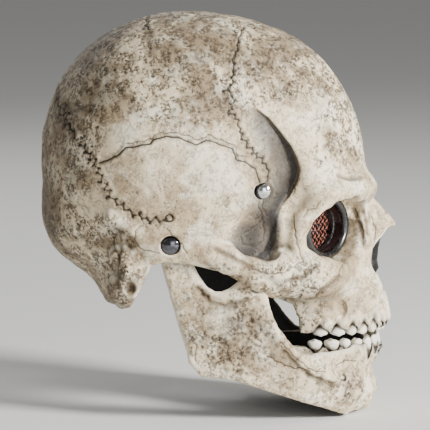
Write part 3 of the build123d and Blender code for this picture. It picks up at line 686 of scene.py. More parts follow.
# ================================================================ teeth
def tooth_row(name, arch, edge, upward, step=0.5):
    """Both halves of one row, each crown tipped and turned a little, and some of the points on them."""
    rng = np.random.default_rng(7 if upward else 5)
    all_points, all_quads, shades, count = [], [], [], 0
    for side in (-1, 1):
        for number in range(len(TOOTH_WIDTHS)):
            spot, out = crown_place(arch, number)
            width, depth, height = TOOTH_WIDTHS[number], CROWN_DEPTHS[number], CROWN_HEIGHTS[number]
            clay = Clay((-width, -depth, -height - 3), (width, depth, 5), step)
            clay.d = crown_distance(number, *np.ix_(*clay.axes))
            points, quads = surface_of(clay.d, step, clay.low)
            neck = -points[:, 2] / height
            tilt, spin, lean = rng.normal(0, 0.03, 3)
            points[:, 0] += tilt * points[:, 2]
            points[:, 1] += lean * points[:, 2]
            angle = math.atan2(out.x, -out.y) + spin
            across = math.cos(angle) * points[:, 0] - math.sin(angle) * points[:, 1]
            along = math.sin(angle) * points[:, 0] + math.cos(angle) * points[:, 1]
            rise = -points[:, 2] - height if upward else points[:, 2] + height
            placed = [side * (spot.x + across), spot.y + along, edge + rng.normal(0, 0.2) + rise]
            all_points.append(np.stack(placed, 1))
            all_quads.append((quads[:, ::-1] if (side < 0) != upward else quads) + count)
            shades.append(np.stack([neck, np.full(len(points), rng.random())], 1))
            count += len(points)
    all_points = np.concatenate(all_points)
    piece = mesh_object(name, all_points, np.concatenate(all_quads))
    shades = np.concatenate(shades)
    note(piece, "crown", shades[:, 0])
    note(piece, "variety", shades[:, 1])
    return piece, all_points[::3]


# ================================================================ lines and texture on the surface
def land(clay, origins, directions, reach=120.0):
    """Where rays from inside leave the solid: the last crossing along each."""
    origins, directions = np.broadcast_arrays(np.array(origins, float), np.array(directions, float))
    last = np.zeros(len(origins))
    for distance in np.arange(0, reach, 0.5):
        inside = clay.sample(origins + directions * distance) < 0
        last[inside] = distance
    spots = origins + directions * last[:, None]
    for _ in range(3):
        spots = spots - directions * np.clip(clay.sample(spots), -0.5, 0.5)[:, None]
    return spots


def meander(route, loops, wave, seed, spacing=0.35):
    """A hand-drawn line through the route's points that swings loops mm to each side every wave mm."""
    rng = np.random.default_rng(seed)
    route = np.array(route, float)
    walked = walked_along(route)
    t = np.arange(0, walked[-1], spacing)
    line = np.stack([np.interp(t, walked, column) for column in route.T], 1)
    knots = np.arange(0, walked[-1] + 6, 3)
    uneven = [np.interp(t, knots, rng.uniform(-1, 1, len(knots))) for _ in range(3)]
    ahead = unit(np.gradient(line, axis=0))
    across = ahead[:, ::-1] * (1, -1)
    phase = np.cumsum((1 + 0.4 * uneven[0]) * spacing * 2 * math.pi / wave)
    size = loops * (0.75 + 0.45 * uneven[1]) * np.clip(np.minimum(t, t[-1] - t) / 4, 0, 1)
    swing = size * np.sin(phase) + 0.14 * size * np.sin(2.7 * phase + 1)
    lean = 0.45 * size * np.sin(2 * phase)
    wander = 0.5 * uneven[2] * min(1.0, loops + 0.4)
    return line + across * (swing + wander)[:, None] + ahead * lean[:, None]


def side_line(clay, route, loops=0.0, wave=6.0, seed=0):
    """A line drawn in side view, laid on the outer surface of the right and the left."""
    line = meander(route, loops, wave, seed)
    origins = np.column_stack([np.zeros(len(line)), line])
    spots = land(clay, origins, [1, 0, 0])
    return np.concatenate([spots, spots * (-1, 1, 1)])


def round_line(clay, route, loops=0.0, wave=6.0, seed=0):
    """A line drawn in degrees from the middle of the cranium: left of the midplane, and up from the face."""
    line = np.radians(meander(route, loops, wave, seed, spacing=0.22))
    left, up = line[:, 0], line[:, 1]
    directions = np.stack([np.sin(left), -np.cos(left) * np.cos(up), np.cos(left) * np.sin(up)], 1)
    return land(clay, [CRANIUM] * len(line), directions)


def nearest(points, targets, reach):
    """Distance from each point to the nearest target, and which one, up to reach."""
    tree = KDTree(len(targets))
    for number, target in enumerate(targets):
        tree.insert(target, number)
    tree.balance()
    far = np.full(len(points), reach)
    which = np.zeros(len(points), int)
    low, high = targets.min(0) - reach, targets.max(0) + reach
    for index in np.nonzero(np.all((points > low) & (points < high), axis=1))[0]:
        _, number, distance = tree.find(points[index])
        if distance < reach:
            far[index] = distance
            which[index] = number
    return far, which


def lumps(points, size, seed, octaves=1):
    """Smooth random heights, about -1 to 1, with bumps about size millimetres wide."""
    total, strength = np.zeros(len(points)), 1.0
    for octave in range(octaves):
        table = np.random.default_rng(seed + octave).uniform(-1, 1, (32, 32, 32))
        places = points / size + 200
        cell = np.floor(places).astype(int)
        f = places - cell
        f = f * f * (3 - 2 * f)
        total += strength * between_corners(cell, f, lambda corner: table[tuple((corner % 32).T)])
        size, strength = size / 2, strength / 2
    return total


def pits(points, weight, count, radii, seed):
    """How deep each point lies in shallow round pits, 0 to 1. They are dug at random, by weight."""
    rng = np.random.default_rng(seed)
    chosen = rng.choice(len(points), count, replace=False, p=weight / weight.sum())
    sizes = rng.uniform(*radii, count)
    far, which = nearest(points, points[chosen], radii[1])
    share = np.clip(1 - (far / sizes[which]) ** 2, 0, 1)
    return share * share


CRANIUM = (0, -15, 45)
CORONAL = [
    (-48.5, 142), (-45.9, 136), (-44.5, 130), (-41.5, 121), (-41.5, 114), (-40.4, 105), (-35.5, 102),
    (-41, 99), (-41, 94), (-38.3, 88.5), (-44.5, 83), (-46, 73), (-49.5, 68), (-53.5, 63), (-59, 57),
    (-64.5, 50), (-65, 44), (-61.5, 39),
]
LAMBDOID = [
    (71, 91), (69, 78), (62, 69), (56, 62), (50, 55), (47, 47), (43, 38), (37, 29), (28, 23),
    (15, 17.5), (2, 16),
]
CORONAL_TOP = [(0, 107), (8, 107.5), (19, 108)]
LAMBDOID_TOP = [(0, 148), (12, 152), (24, 157), (34, 160)]
SAGITTAL = [(0, 109), (0, 122), (0, 136), (0, 148)]
CRACKS = [
    # the fissures of the temple's floor
    [(-46.6, 4), (-48, -1), (-55, -3.7), (-60.6, -1.2), (-62.4, 4), (-60.6, 17)],
    [(-48.6, 6), (-55.8, 9.7), (-60.6, 15.7)],
    [(-59, 30), (-58.5, 24), (-60.5, 18), (-56, 15)],
    [(-61.5, 29), (-61, 23), (-64, 17)],
    # cheekbone: against the upper jaw, the brow and the arch
    [(-114.5, -9.3), (-116, -14), (-114, -19), (-112, -24), (-107, -26), (-102, -31), (-97, -39)],
    [(-53.6, -16), (-64, -20), (-75, -19.6), (-83, -15.4), (-89, -12.6)],
    [(-81.8, 17), (-82.5, 10), (-83.1, 4), (-86, -8), (-88.7, -14.5)],
    [(-78.6, 40), (-82, 36.7), (-83, 34.6), (-81, 29.7)],
    [(-88, 16), (-91, 21), (-96, 23), (-100, 28)],
    # beside the nose
    [(-137, 11), (-138, 7), (-139.5, 1.4), (-140, -3.4), (-138.5, -9), (-137.4, -13)],
    [(-125.4, 16.4), (-126.8, 8), (-130.3, 1), (-131, -6), (-130.7, -9)],
    # round the ear
    [(19.5, 13.6), (23, 9.5), (24, 3.5), (21, -1.6), (14.8, -3.6), (8, -5)],
    [(2.7, 11.6), (-2.3, 6.5), (-8.4, -0.6), (-11.4, -5.5)],
    [(36, 8), (38, 0), (34, -10), (36, -20)],
]
FOLDS = [
    # down the side of the nose from the inner corner of the orbit
    [(-124, 16), (-128, 6), (-131, -6)],
    [(-130, 15), (-133, 8), (-134, 0)],
    # above the cheekbone's foot, and along the arch
    [(-113, -25), (-104, -31), (-98, -37)],
    [(-96, -16), (-86, -24), (-76, -26)],
    [(-30, -3), (-42, -9), (-53, -15)],
    # over the brow
    [(-112, 43), (-120, 40), (-128, 41)],
    # behind the ear
    [(33, -1), (36, -13), (35, -26)],
]
JAW_FOLDS = [
    [(-76, -74), (-86, -86), (-96, -94), (-108, -98)],
    [(-18, -30), (-26, -40), (-38, -43), (-50, -38)],
]
JAW_CRACKS = [
    [(-64, -77.5), (-76, -83), (-83, -86), (-93, -88)],
    [(-74, -67), (-83, -77.5), (-93, -87), (-104, -90)],
    [(-112, -86), (-118, -84), (-126, -86)],
    [(-12, -62), (-17, -70), (-16, -80)],
]


def circle_line(clay, centre, radius):
    """A small ring drawn in side view."""
    angles = np.linspace(0, 2 * math.pi, 40)
    ring = [centre[0] + radius * np.cos(angles), centre[1] + radius * np.sin(angles)]
    return side_line(clay, np.column_stack(ring))


MARK_REACH = {"seam": 6.0, "crack": 4.0, "fold": 6.0, "tooth": 4.0}


def finish_casting(piece, points, clay, outside, marks, dirt, worn, seed, back_shade=0.0):
    """Lumps, grooves and pits in the outer skin, and the numbers that its paint follows."""
    normals = clay.slope(points)
    skin = 1 - soft_step(-outside(points), 0.8, 1.8)
    far = {name: nearest(points, marks[name], reach)[0] for name, reach in MARK_REACH.items()}
    weight = skin * dirt
    pit = pits(points, weight**2 + 1e-9, worn, (0.9, 2.3), seed)
    rough = pits(points, weight**3 + 1e-9, worn // 2, (2.0, 4.2), seed + 1)
    lift = 0.36 * lumps(points, 17, seed, 2) + 0.24 * lumps(points, 5.5, seed + 5, 2) * (0.3 + dirt)
    # A seam is a groove between two low banks.
    lift -= 1.0 * bell(far["seam"], 0.7) - 0.4 * bell(far["seam"] - 1.8, 0.9)
    lift -= 0.55 * bell(far["crack"], 0.65)
    lift -= 0.5 * pit + 0.45 * rough + 1.3 * bell(far["fold"], 1.7)
    lift -= 0.8 * bell(far["tooth"], 1.3)
    move_points(piece, points + normals * (lift * skin)[:, None])

    def hollow(reach):
        """How closed in each point is, 0 to 1, or with a reach below 0 how thin the latex under it is."""
        return np.clip(1 - clay.sample(points + normals * reach) / reach, 0, 1)

    numbers = dict(far, inside=1 - skin, dirt=dirt, pit=np.maximum(pit, 0.7 * rough))
    # The broad hollows get brown wash deepened as painted shade, and the back of the skull gets painted shade
    # too.
    numbers.update(broad=np.maximum(hollow(7), back_shade), fine=hollow(2.2), ridge=hollow(-1.3) * skin)
    for name, values in numbers.items():
        note(piece, name, values)


def lines_of(clay, routes, loops, wave, seed):
    """Every route as a line on the surface, each with a seed of its own."""
    drawn = [side_line(clay, route, loops, wave, seed + number) for number, route in enumerate(routes)]
    return np.concatenate(drawn)


def skull_dirt(points):
    """Where the wash lies thick on the skull: crown, back, mastoid, forehead, cheekbone and temporal plate."""
    x, y, z = np.abs(points[:, 0]), points[:, 1], points[:, 2]
    top = soft_step(z - 0.25 * np.abs(y + 10), 62, 92)
    back = soft_step(y + 0.25 * z, 52, 76)
    low_back = soft_step(y - 0.4 * z, 14, 34) * soft_step(28 - z, 0, 18)
    brow = 0.75 * soft_step(-y, 84, 104) * soft_step(z, 34, 60)
    cheek = 0.8 * soft_step(-z, 2, 22) * soft_step(-y, 12, 30) * (1 - 0.7 * soft_step(-y, 92, 112))
    squama = 0.45 * np.exp(-(((y + 40) / 13) ** 2 + ((z - 27) / 10) ** 2)) * (x > 50)
    return np.clip(np.maximum.reduce([top, back, low_back, brow, cheek, squama]), 0.22, 1)


def skull_casting(step, teeth):
    """The skull, worn and marked. The sutures run over both sides, and the temple has a painted shade of its
    own.
    """
    clay, base, shade = sculpt_skull(step)
    piece, points = cast(clay, "skull_casting")
    above_plate = [(y - 1, z + 2.6) for y, z in PLATE_EDGE[2:13]]
    seams = [
        side_line(base, PLATE_EDGE, 0.25, 9, 3),
        side_line(base, CORONAL[:5], 0.7, 5.0, 1),
        side_line(base, CORONAL[4:], 1.6, 5.4, 2),
        side_line(base, LAMBDOID, 2.7, 6.4, 4),
        circle_line(base, (0.7, 18.5), 2.4),
        round_line(base, SAGITTAL, 1.6, 3.8, 7),
    ]
    for line in (round_line(base, CORONAL_TOP, 0.8, 5, 5), round_line(base, LAMBDOID_TOP, 2.2, 5.2, 6)):
        seams += [line, line * (-1, 1, 1)]
    cracks = [side_line(base, above_plate, 0.5, 8, 8), circle_line(base, (-69.6, 30.8), 1.8)]
    cracks.append(lines_of(base, CRACKS, 0.45, 7, 20))
    marks = {"seam": np.concatenate(seams), "crack": np.concatenate(cracks), "tooth": teeth}
    marks["fold"] = lines_of(base, FOLDS, 0.3, 9, 90)
    # Painted shade over the back of the skull, added to the broad hollows' number.
    back_shade = 0.46 * soft_step(points[:, 1] + 0.15 * points[:, 2], 46, 84)
    finish_casting(piece, points, clay, base.sample, marks, skull_dirt(points), 1500, 31, back_shade)
    y = np.clip((points[:, 1] - clay.low[1]) / step, 0, shade.shape[0] - 1).astype(int)
    z = np.clip((points[:, 2] - clay.low[2]) / step, 0, shade.shape[1] - 1).astype(int)
    # The temple's painted shade stays off the face and off the outside of the cheekbone's arch.
    side = soft_step(np.abs(points[:, 0]), 26, 38)
    arch = soft_step(np.abs(points[:, 0]) - 0.12 * np.abs(points[:, 1] + 60), 73, 68)
    note(piece, "temple", shade[y, z] * side * np.where(points[:, 2] < 16, arch, 1))
    return piece


def jaw_dirt(points):
    """Where the wash lies thick on the jaw: the middle of the ramus, and the chin."""
    y, z = points[:, 1], points[:, 2]
    ramus = 0.35 + 0.65 * np.exp(-(((y + 40) / 22) ** 2 + ((z + 62) / 22) ** 2))
    return np.maximum(ramus, 0.8 * np.exp(-(((y + 118) / 20) ** 2 + ((z + 104) / 13) ** 2)))


def jaw_casting(step, teeth):
    """The jaw, worn and marked. Its outer skin is what faces the same way as the outer wall."""
    clay = sculpt_jaw(step)
    piece, points = cast(clay, "jaw_casting")
    outer = clay.copy()
    outer.d = np.maximum(horseshoe(*np.ix_(*clay.axes)), -40).astype(F4)
    on_ridge = (points[:, 1] < -71.5) & (points[:, 2] > -97)

    def outside(places):
        facing = np.sum(clay.slope(places) * outer.slope(places), axis=1)
        return np.where(facing < np.where(on_ridge, -0.2, 0.15), -3.0, 0.0)

    nowhere = np.full((1, 3), 500.0)
    marks = {"seam": nowhere, "crack": lines_of(clay, JAW_CRACKS, 0.5, 8, 60), "tooth": teeth}
    marks["fold"] = lines_of(clay, JAW_FOLDS, 0.4, 9, 95)
    finish_casting(piece, points, clay, outside, marks, jaw_dirt(points), 520, 47)
    note(piece, "temple", np.zeros(len(points)))
    return piece


# ================================================================ materials
class Paint:
    """A procedural material, put together one node at a time. Textures measure the object in metres."""

    def __init__(self, name, **sockets):
        self.material = bpy.data.materials.new(name)
        self.material.use_nodes = True
        self.tree = self.material.node_tree
        self.shader = self.tree.nodes["Principled BSDF"]
        for socket, value in sockets.items():
            self.shader.inputs[socket.replace("_", " ")].default_value = value
        self.place = self.node("ShaderNodeTexCoord").outputs["Object"]

    def node(self, kind, settings=None, **inputs):
        """A node with its settings, its inputs named as on screen or numbered as in i0, i1."""
        node = self.tree.nodes.new(kind)
        for name, value in (settings or {}).items():
            setattr(node, name, value)
        for name, value in inputs.items():
            self.feed(node.inputs[int(name[1:]) if name[1:].isdigit() else name.replace("_", " ")], value)
        return node

    def feed(self, socket, value):
        """Links an output to a socket, or sets the socket's own value."""
        if isinstance(value, bpy.types.NodeSocket):
            self.tree.links.new(value, socket)
        else:
            socket.default_value = value

    def number(self, name):
        """A number that is stored at the points of the mesh."""
        return self.node("ShaderNodeAttribute", {"attribute_name": name}).outputs["Fac"]

    def math(self, operation, a, b=0.0):
        return self.node("ShaderNodeMath", {"operation": operation}, i0=a, i1=b).outputs[0]

    def times(self, a, b):
        return self.math("MULTIPLY", a, b)

    def spread(self, value, low, high, out_low=0.0, out_high=1.0):
        """Maps low..high to out_low..out_high, easing at both ends."""
        settings = {"interpolation_type": "SMOOTHSTEP"}
        ends = {"From_Min": low, "From_Max": high, "To_Min": out_low, "To_Max": out_high}
        return self.node("ShaderNodeMapRange", settings, Value=value, **ends).outputs[0]

    def noise(self, millimetres, detail=3.0, roughness=0.55, distortion=0.0, place=None):
        sockets = {"Detail": detail, "Roughness": roughness, "Distortion": distortion}
        sockets.update(Scale=1000 / millimetres, Vector=place or self.place)
        return self.node("ShaderNodeTexNoise", **sockets).outputs["Fac"]

    def cells(self, millimetres, feature="F1"):
        settings = {"feature": feature}
        node = self.node("ShaderNodeTexVoronoi", settings, Vector=self.place, Scale=1000 / millimetres)
        return node.outputs["Distance"]

    def mix(self, share, a, b, blend="MIX"):
        node = self.node("ShaderNodeMix", {"data_type": "RGBA", "blend_type": blend})
        self.feed(node.inputs["Factor"], share)
        self.feed(node.inputs[6], a)
        self.feed(node.inputs[7], b)
        return node.outputs[2]

    def bump(self, height, millimetres, strength):
        sockets = {"Height": height, "Distance": millimetres * MM, "Strength": strength}
        return self.node("ShaderNodeBump", **sockets).outputs[0]

    def finish(self, colour, roughness=None, normal=None):
        """Feeds the shader and gives the material."""
        for name, value in (("Base Color", colour), ("Roughness", roughness), ("Normal", normal)):
            if value is not None:
                self.feed(self.shader.inputs[name], value)
        return self.material


def tone(red, green, blue):
    """A colour given as 0 to 255 on screen, as the light that it reflects."""
    return (*(((c / 255 + 0.055) / 1.055) ** 2.4 if c > 10 else c / 3295 for c in (red, green, blue)), 1)


CREAM, PALE, TAN = tone(232, 214, 180), tone(250, 240, 214), tone(186, 163, 127)
# The wash's brown also serves as painted shade in the broad hollows and on the gum. The near black serves as
# painted shadow round the teeth and in the temple's pit, and as the dark of the sutures.
WASH_AND_SHADE, UMBER, NEAR_BLACK = tone(94, 79, 59), tone(52, 40, 28), tone(22, 18, 15)
# The grey of the painted shade in the temple.
SLATE = tone(66, 60, 56)


def bone_latex():
    """Cast latex painted as old bone: cream, brown wash in every hollow, mottling, and pale ridges. Painted
    shade deepens the broad hollows, the back, the temple and the gum round the teeth, and the pale ridges are
    painted highlights.
    """
    paint = Paint("bone_latex", Specular_IOR_Level=0.35, Sheen_Weight=0.06, Sheen_Roughness=0.5)
    dirt = paint.number("dirt")
    clouds, blots = paint.noise(34, 4, 0.6, 0.6), paint.noise(7.0, 6, 0.68, 0.3)
    specks, grain = paint.noise(2.0, 4, 0.65, 0.3), paint.noise(0.8, 2, 0.6)
    # Blots and specks where the wash lies thick, a film of it, brown pinholes, and crackle here and there.
    thick = paint.times(paint.spread(blots, 0.43, 0.55), paint.spread(specks, 0.4, 0.54))
    thick = paint.times(thick, paint.spread(dirt, 0.0, 0.8, 0.35, 0.95))
    film = paint.times(paint.spread(clouds, 0.42, 0.56), paint.spread(dirt, 0.1, 1.0, 0.05, 0.55))
    pin = paint.times(paint.spread(paint.cells(3.4), 0.3, 0.12), paint.spread(blots, 0.38, 0.54))
    dirty_pin = paint.times(pin, paint.spread(dirt, 0.0, 0.8, 0.25, 0.85))
    crackle = paint.spread(paint.cells(9, "DISTANCE_TO_EDGE"), 0.03, 0.0)
    crackle = paint.times(crackle, paint.spread(clouds, 0.52, 0.62))

    def where(name, low, high, most):
        """How much of a layer goes on, up to most, by a number that the mesh holds."""
        return paint.spread(paint.number(name), low, high, 0, most)

    seam_halo = paint.times(where("seam", 3.6, 0.6, 0.55), paint.spread(blots, 0.3, 0.6))
    temple_shade = paint.times(where("temple", 0.0, 0.75, 0.97), paint.spread(blots, 0.3, 0.6, 1, 0.88))
    layers = [
        (paint.spread(paint.noise(19, 4, 0.6), 0.48, 0.6, 0, 0.85), PALE),
        (film, WASH_AND_SHADE),
        (thick, WASH_AND_SHADE),
        (dirty_pin, UMBER),
        (paint.times(crackle, 0.4), WASH_AND_SHADE),
        # Brown wash deepened as painted shade in the broad hollows, and painted shade over the back of the
        # skull.
        (where("broad", 0.16, 0.75, 0.85), WASH_AND_SHADE),
        (where("fine", 0.16, 0.7, 0.85), UMBER),
        (where("fold", 3.2, 0.4, 0.75), WASH_AND_SHADE),
        (where("pit", 0.1, 0.9, 0.62), UMBER),
        (seam_halo, WASH_AND_SHADE),
        # Painted highlight: the ridges, where the latex under the skin is thin, are painted pale.
        (where("ridge", 0.15, 0.5, 0.85), PALE),
        # Painted shadow on the gum round each tooth, where the crowns sit in their sockets.
        (where("tooth", 4.0, 1.2, 0.5), WASH_AND_SHADE),
        (where("tooth", 2.6, 1.0, 0.94), NEAR_BLACK),
        # Painted shade in the temple's hollow, and near black painted shade in the pit behind the cheekbone.
        (temple_shade, SLATE),
        (where("temple", 0.72, 1.0, 0.85), NEAR_BLACK),
        (where("crack", 0.8, 0.25, 0.75), UMBER),
        (where("seam", 0.95, 0.35, 0.92), NEAR_BLACK),
    ]
    colour = paint.mix(paint.spread(clouds, 0.42, 0.62, 0, 0.8), CREAM, TAN)
    for share, layer in layers:
        colour = paint.mix(share, colour, layer)
    colour = paint.mix(paint.spread(grain, 0.3, 0.75, 0, 0.22), colour, TAN, "MULTIPLY")
    colour = paint.mix(where("inside", 0.25, 0.7, 1), colour, tone(34, 32, 31))
    height = paint.math("ADD", paint.times(specks, 0.7), paint.times(grain, 0.22))
    for hollow, depth in ((thick, 0.5), (pin, 0.8), (crackle, 0.4)):
        height = paint.math("SUBTRACT", height, paint.times(hollow, depth))
    return paint.finish(colour, paint.spread(specks, 0.3, 0.7, 0.5, 0.72), paint.bump(height, 0.45, 0.8))


def tooth_enamel():
    """Ivory paint, white at the biting edge and brown at the neck, with a painted shadow line round each crown
    at the gum.
    """
    paint = Paint("tooth_enamel", Specular_IOR_Level=0.5, Coat_Weight=0.15, Coat_Roughness=0.25)
    crown_share, variety = paint.number("crown"), paint.number("variety")
    colour = paint.mix(variety, tone(252, 247, 234), tone(234, 224, 200))
    streaks = paint.noise(1.6, 3, 0.6, 0.5)
    stain = paint.math("ADD", crown_share, paint.times(streaks, 0.3))
    colour = paint.mix(paint.spread(stain, 0.75, 0.3, 0, 0.85), colour, tone(132, 106, 74))
    # Painted shadow at the neck, where the crown goes into the gum.
    colour = paint.mix(paint.spread(crown_share, 0.42, 0.14, 0, 0.94), colour, UMBER)
    colour = paint.mix(paint.spread(paint.noise(0.9, 2), 0.55, 0.75, 0, 0.35), colour, TAN)
    return paint.finish(colour, paint.spread(streaks, 0.3, 0.7, 0.3, 0.5), paint.bump(streaks, 0.2, 0.5))


def black_latex():
    """The unpainted inside of the latex, dusty."""
    paint = Paint("black_latex", Specular_IOR_Level=0.4)
    dust = paint.noise(5, 5, 0.6, 0.5)
    colour = paint.mix(paint.spread(dust, 0.45, 0.75), tone(30, 28, 27), tone(96, 92, 90))
    leather = paint.bump(paint.noise(1.6, 4), 0.5, 0.7)
    return paint.finish(colour, paint.spread(dust, 0.3, 0.7, 0.35, 0.6), leather)


def gloss_rubber():
    """Moulded rubber, gloss black with dust and a faint orange peel."""
    paint = Paint("gloss_black_rubber", Specular_IOR_Level=0.55, Coat_Weight=0.5, Coat_Roughness=0.12)
    dust = paint.noise(7, 5, 0.65, 0.4)
    colour = paint.mix(paint.spread(dust, 0.52, 0.8, 0, 0.5), tone(16, 16, 18), tone(58, 60, 64))
    peel = paint.bump(paint.noise(1.4, 2), 0.08, 0.6)
    return paint.finish(colour, paint.spread(dust, 0.3, 0.75, 0.16, 0.42), peel)


def copper_wire():
    """Dark lacquered wire, with copper painted on the crowns of the weave as glints."""
    paint = Paint("eye_mesh_wire", Metallic=0.25, Roughness=0.5)
    # Painted glints: the crowns of the weave are painted copper, in patches.
    worn = paint.spread(paint.number("crest"), 0.45, 0.95)
    worn = paint.times(worn, paint.spread(paint.noise(4, 3), 0.25, 0.5))
    colour = paint.mix(worn, tone(30, 19, 17), tone(158, 86, 66))
    lacquer = paint.bump(paint.noise(0.3, 2), 0.05, 0.5)
    return paint.finish(colour, paint.spread(worn, 0, 1, 0.7, 0.5), lacquer)


def metal(name, bright, dull, roughness):
    """Plated metal with fine scratches and a little tarnish."""
    paint = Paint(name, Metallic=1.0)
    stretched = paint.node("ShaderNodeMapping", Vector=paint.place, Scale=(1, 0.12, 1)).outputs[0]
    lines = paint.noise(0.35, 3, 0.6, 0, stretched)
    tarnish = paint.noise(2.8, 4, 0.6, 0.6)
    colour = paint.mix(paint.spread(tarnish, 0.42, 0.75, 0, 0.7), bright, dull)
    rough = paint.spread(tarnish, 0.3, 0.8, roughness, roughness + 0.18)
    rough = paint.math("ADD", rough, paint.spread(lines, 0.55, 0.8, 0, 0.12))
    return paint.finish(colour, rough, paint.bump(lines, 0.02, 0.5))


def woven_elastic(picks_per_mm=0.45, ribs_per_mm=0.8):
    """Black knitted elastic: ribs along the strap and picks across it, with rubber glinting between."""
    paint = Paint("black_elastic", Specular_IOR_Level=0.3, Sheen_Weight=0.35, Sheen_Roughness=0.4)
    axes = paint.node("ShaderNodeSeparateXYZ", Vector=paint.node("ShaderNodeUVMap").outputs[0]).outputs
    ribs = paint.math("ABSOLUTE", paint.math("SINE", paint.times(axes[1], math.pi * ribs_per_mm)))
    picks = paint.math("ABSOLUTE", paint.math("SINE", paint.times(axes[0], math.pi * picks_per_mm)))
    weave = paint.times(ribs, paint.math("ADD", paint.times(picks, 0.55), 0.45))
    fuzz = paint.noise(0.5, 3, 0.7)
    colour = paint.mix(weave, tone(12, 12, 13), tone(48, 47, 50))
    colour = paint.mix(paint.spread(fuzz, 0.5, 0.8, 0, 0.4), colour, tone(76, 74, 76))
    return paint.finish(colour, paint.spread(fuzz, 0.3, 0.7, 0.62, 0.85), paint.bump(weave, 0.3, 0.9))


def open_foam():
    """Charcoal open-cell foam: two sizes of cell, cut through at the surface, with painted shade in the holes.
    """
    paint = Paint("foam", Specular_IOR_Level=0.2, Sheen_Weight=0.25, Sheen_Roughness=0.6)
    wobble = paint.noise(3, 2)
    big, small = paint.cells(1.5), paint.cells(0.7)
    holes = paint.math("MINIMUM", paint.spread(big, 0.1, 0.5), paint.spread(small, 0.05, 0.45))
    # The holes of the cells are painted near black as the shade inside them.
    colour = paint.mix(holes, tone(16, 16, 18), tone(74, 74, 79))
    colour = paint.mix(paint.spread(wobble, 0.4, 0.7, 0, 0.35), colour, tone(54, 53, 57))
    return paint.finish(colour, paint.spread(holes, 0, 1, 0.95, 0.8), paint.bump(holes, 0.7, 1.0))


# ================================================================ the other pieces
CUP_LIP, MESH_REACH, MESH_DEPTH = (22.8, 19.2), (22.0, 18.6), 13.9


def eye_cup(side, step=0.6):
    """The rubber cup in one orbit: a rolled lip, a deep wall, and a seat for the mesh."""
    clay = Clay((2, -126, -24), (66, -74, 36), step)
    clay.add(column(ORBIT, (25.0, 21.5), 3.4, 13.6, ORBIT_YAW))
    clay.cut(column(ORBIT, (19.6, 16.4), -5, 9, ORBIT_YAW), 3.5)
    clay.cut(column(ORBIT, (18.6, 15.4), -5, 30, ORBIT_YAW), 0.8)
    dx, dy, dz = turned(*np.ix_(*clay.axes), ORBIT, ORBIT_YAW, 0.0)
    lip = np.sqrt(ellipse_distance((dx, dz), CUP_LIP) ** 2 + (dy - 2.8) ** 2) - 3.0
    clay.d = smooth_min(clay.d, lip, 1.5)
    return cast(clay, f"eye_cup_{side}_rubber", side)[0]


def tubes(name, paths, radius, values, sides=8):
    """Round wires along paths in millimetres. values holds a number for every point, stored as crest."""
    points, quads, count = [], [], 0
    turn = np.linspace(0, 2 * math.pi, sides, endpoint=False)
    for path in paths:
        ahead = unit(np.gradient(path, axis=0))
        up = unit(np.cross(ahead, np.cross([0.3, 0.2, 1.0], ahead)))
        out = np.cross(ahead, up)
        round_wire = up[:, None] * np.cos(turn)[:, None] + out[:, None] * np.sin(turn)[:, None]
        points.append((path[:, None] + radius * round_wire).reshape(-1, 3))
        quads.append(ring_faces(len(path), sides, count))
        count += len(path) * sides
    piece = mesh_object(name, np.concatenate(points), np.concatenate(quads))
    note(piece, "crest", np.repeat(np.concatenate(values), sides))
    return piece


def eye_mesh(side, pitch=3.4, wire=0.55):
    """Woven wire behind one cup: wires on both diagonals, each over and under the ones that it crosses."""
    sign = 1 if side == "left" else -1
    yaw = math.radians(ORBIT_YAW)
    along = np.array([sign * math.cos(yaw), math.sin(yaw), 0])
    inward = np.array([-sign * math.sin(yaw), math.cos(yaw), 0])
    centre = np.array([sign * ORBIT[0], ORBIT[1], ORBIT[2]])
    paths, values = [], []
    reach = int(1.5 * MESH_REACH[0] / pitch)
    steps = np.arange(-reach, reach, 0.25)
    for direction in (1, -1):
        for number in range(-reach, reach + 1):
            a, b = number * pitch, steps * pitch
            u, v = (a - direction * b) * math.sqrt(0.5), (direction * a + b) * math.sqrt(0.5)
            kept = (u / MESH_REACH[0]) ** 2 + (v / MESH_REACH[1]) ** 2 < 1
            if kept.sum() < 4:
                continue
            lift = wire * 0.85 * np.cos(math.pi * (steps + number)) * direction
            spots = centre + along * u[:, None] + np.array([0, 0, 1]) * v[:, None]
            spots = spots + inward * (MESH_DEPTH + lift)[:, None]
            paths.append(spots[kept])
            values.append((0.5 - 0.5 * lift / (wire * 0.85))[kept])
    return tubes(f"eye_mesh_{side}_wire", paths, wire, values)


SEPTUM = [(-147.5, 1), (-144, -5), (-142.3, -12), (-141.6, -20.5), (-142.6, -26), (-140, -31)]
SEPTUM += [(-120, -31), (-120, 1)]


def nose_lining(step=0.6):
    """The dark hollow of the nose: a back wall with two nostrils, a septum, and curled bones at each side."""
    clay = Clay((0, -152, -44), (22, -114, 6), step)
    clay.add(rod([(0, -121, -2), (0, -121, -12), (6.5, -121, -26)], [6.5, 10, 11], blend=4))
    x, y, z = np.ix_(*clay.axes)
    clay.d = np.maximum(clay.d, np.abs(y + 121) - 2.2)
    clay.d = smooth_min(clay.d, np.maximum(side_view(SEPTUM)(x, y, z), np.abs(x) - 1.5), 1.5)
    clay.add(rod([(12.5, -129, -12), (10.5, -121, -10)], [1.8, 2.6]), 1.5)
    clay.add(rod([(14.5, -130, -25), (12, -121, -23)], [2.2, 3.0]), 1.5)
    for height in (-18.5, -23.5):
        clay.cut(rod([(6.8, -140, height), (6.8, -110, height)], 2.2), 0.8)
    return cast(clay, "nose_lining")[0]


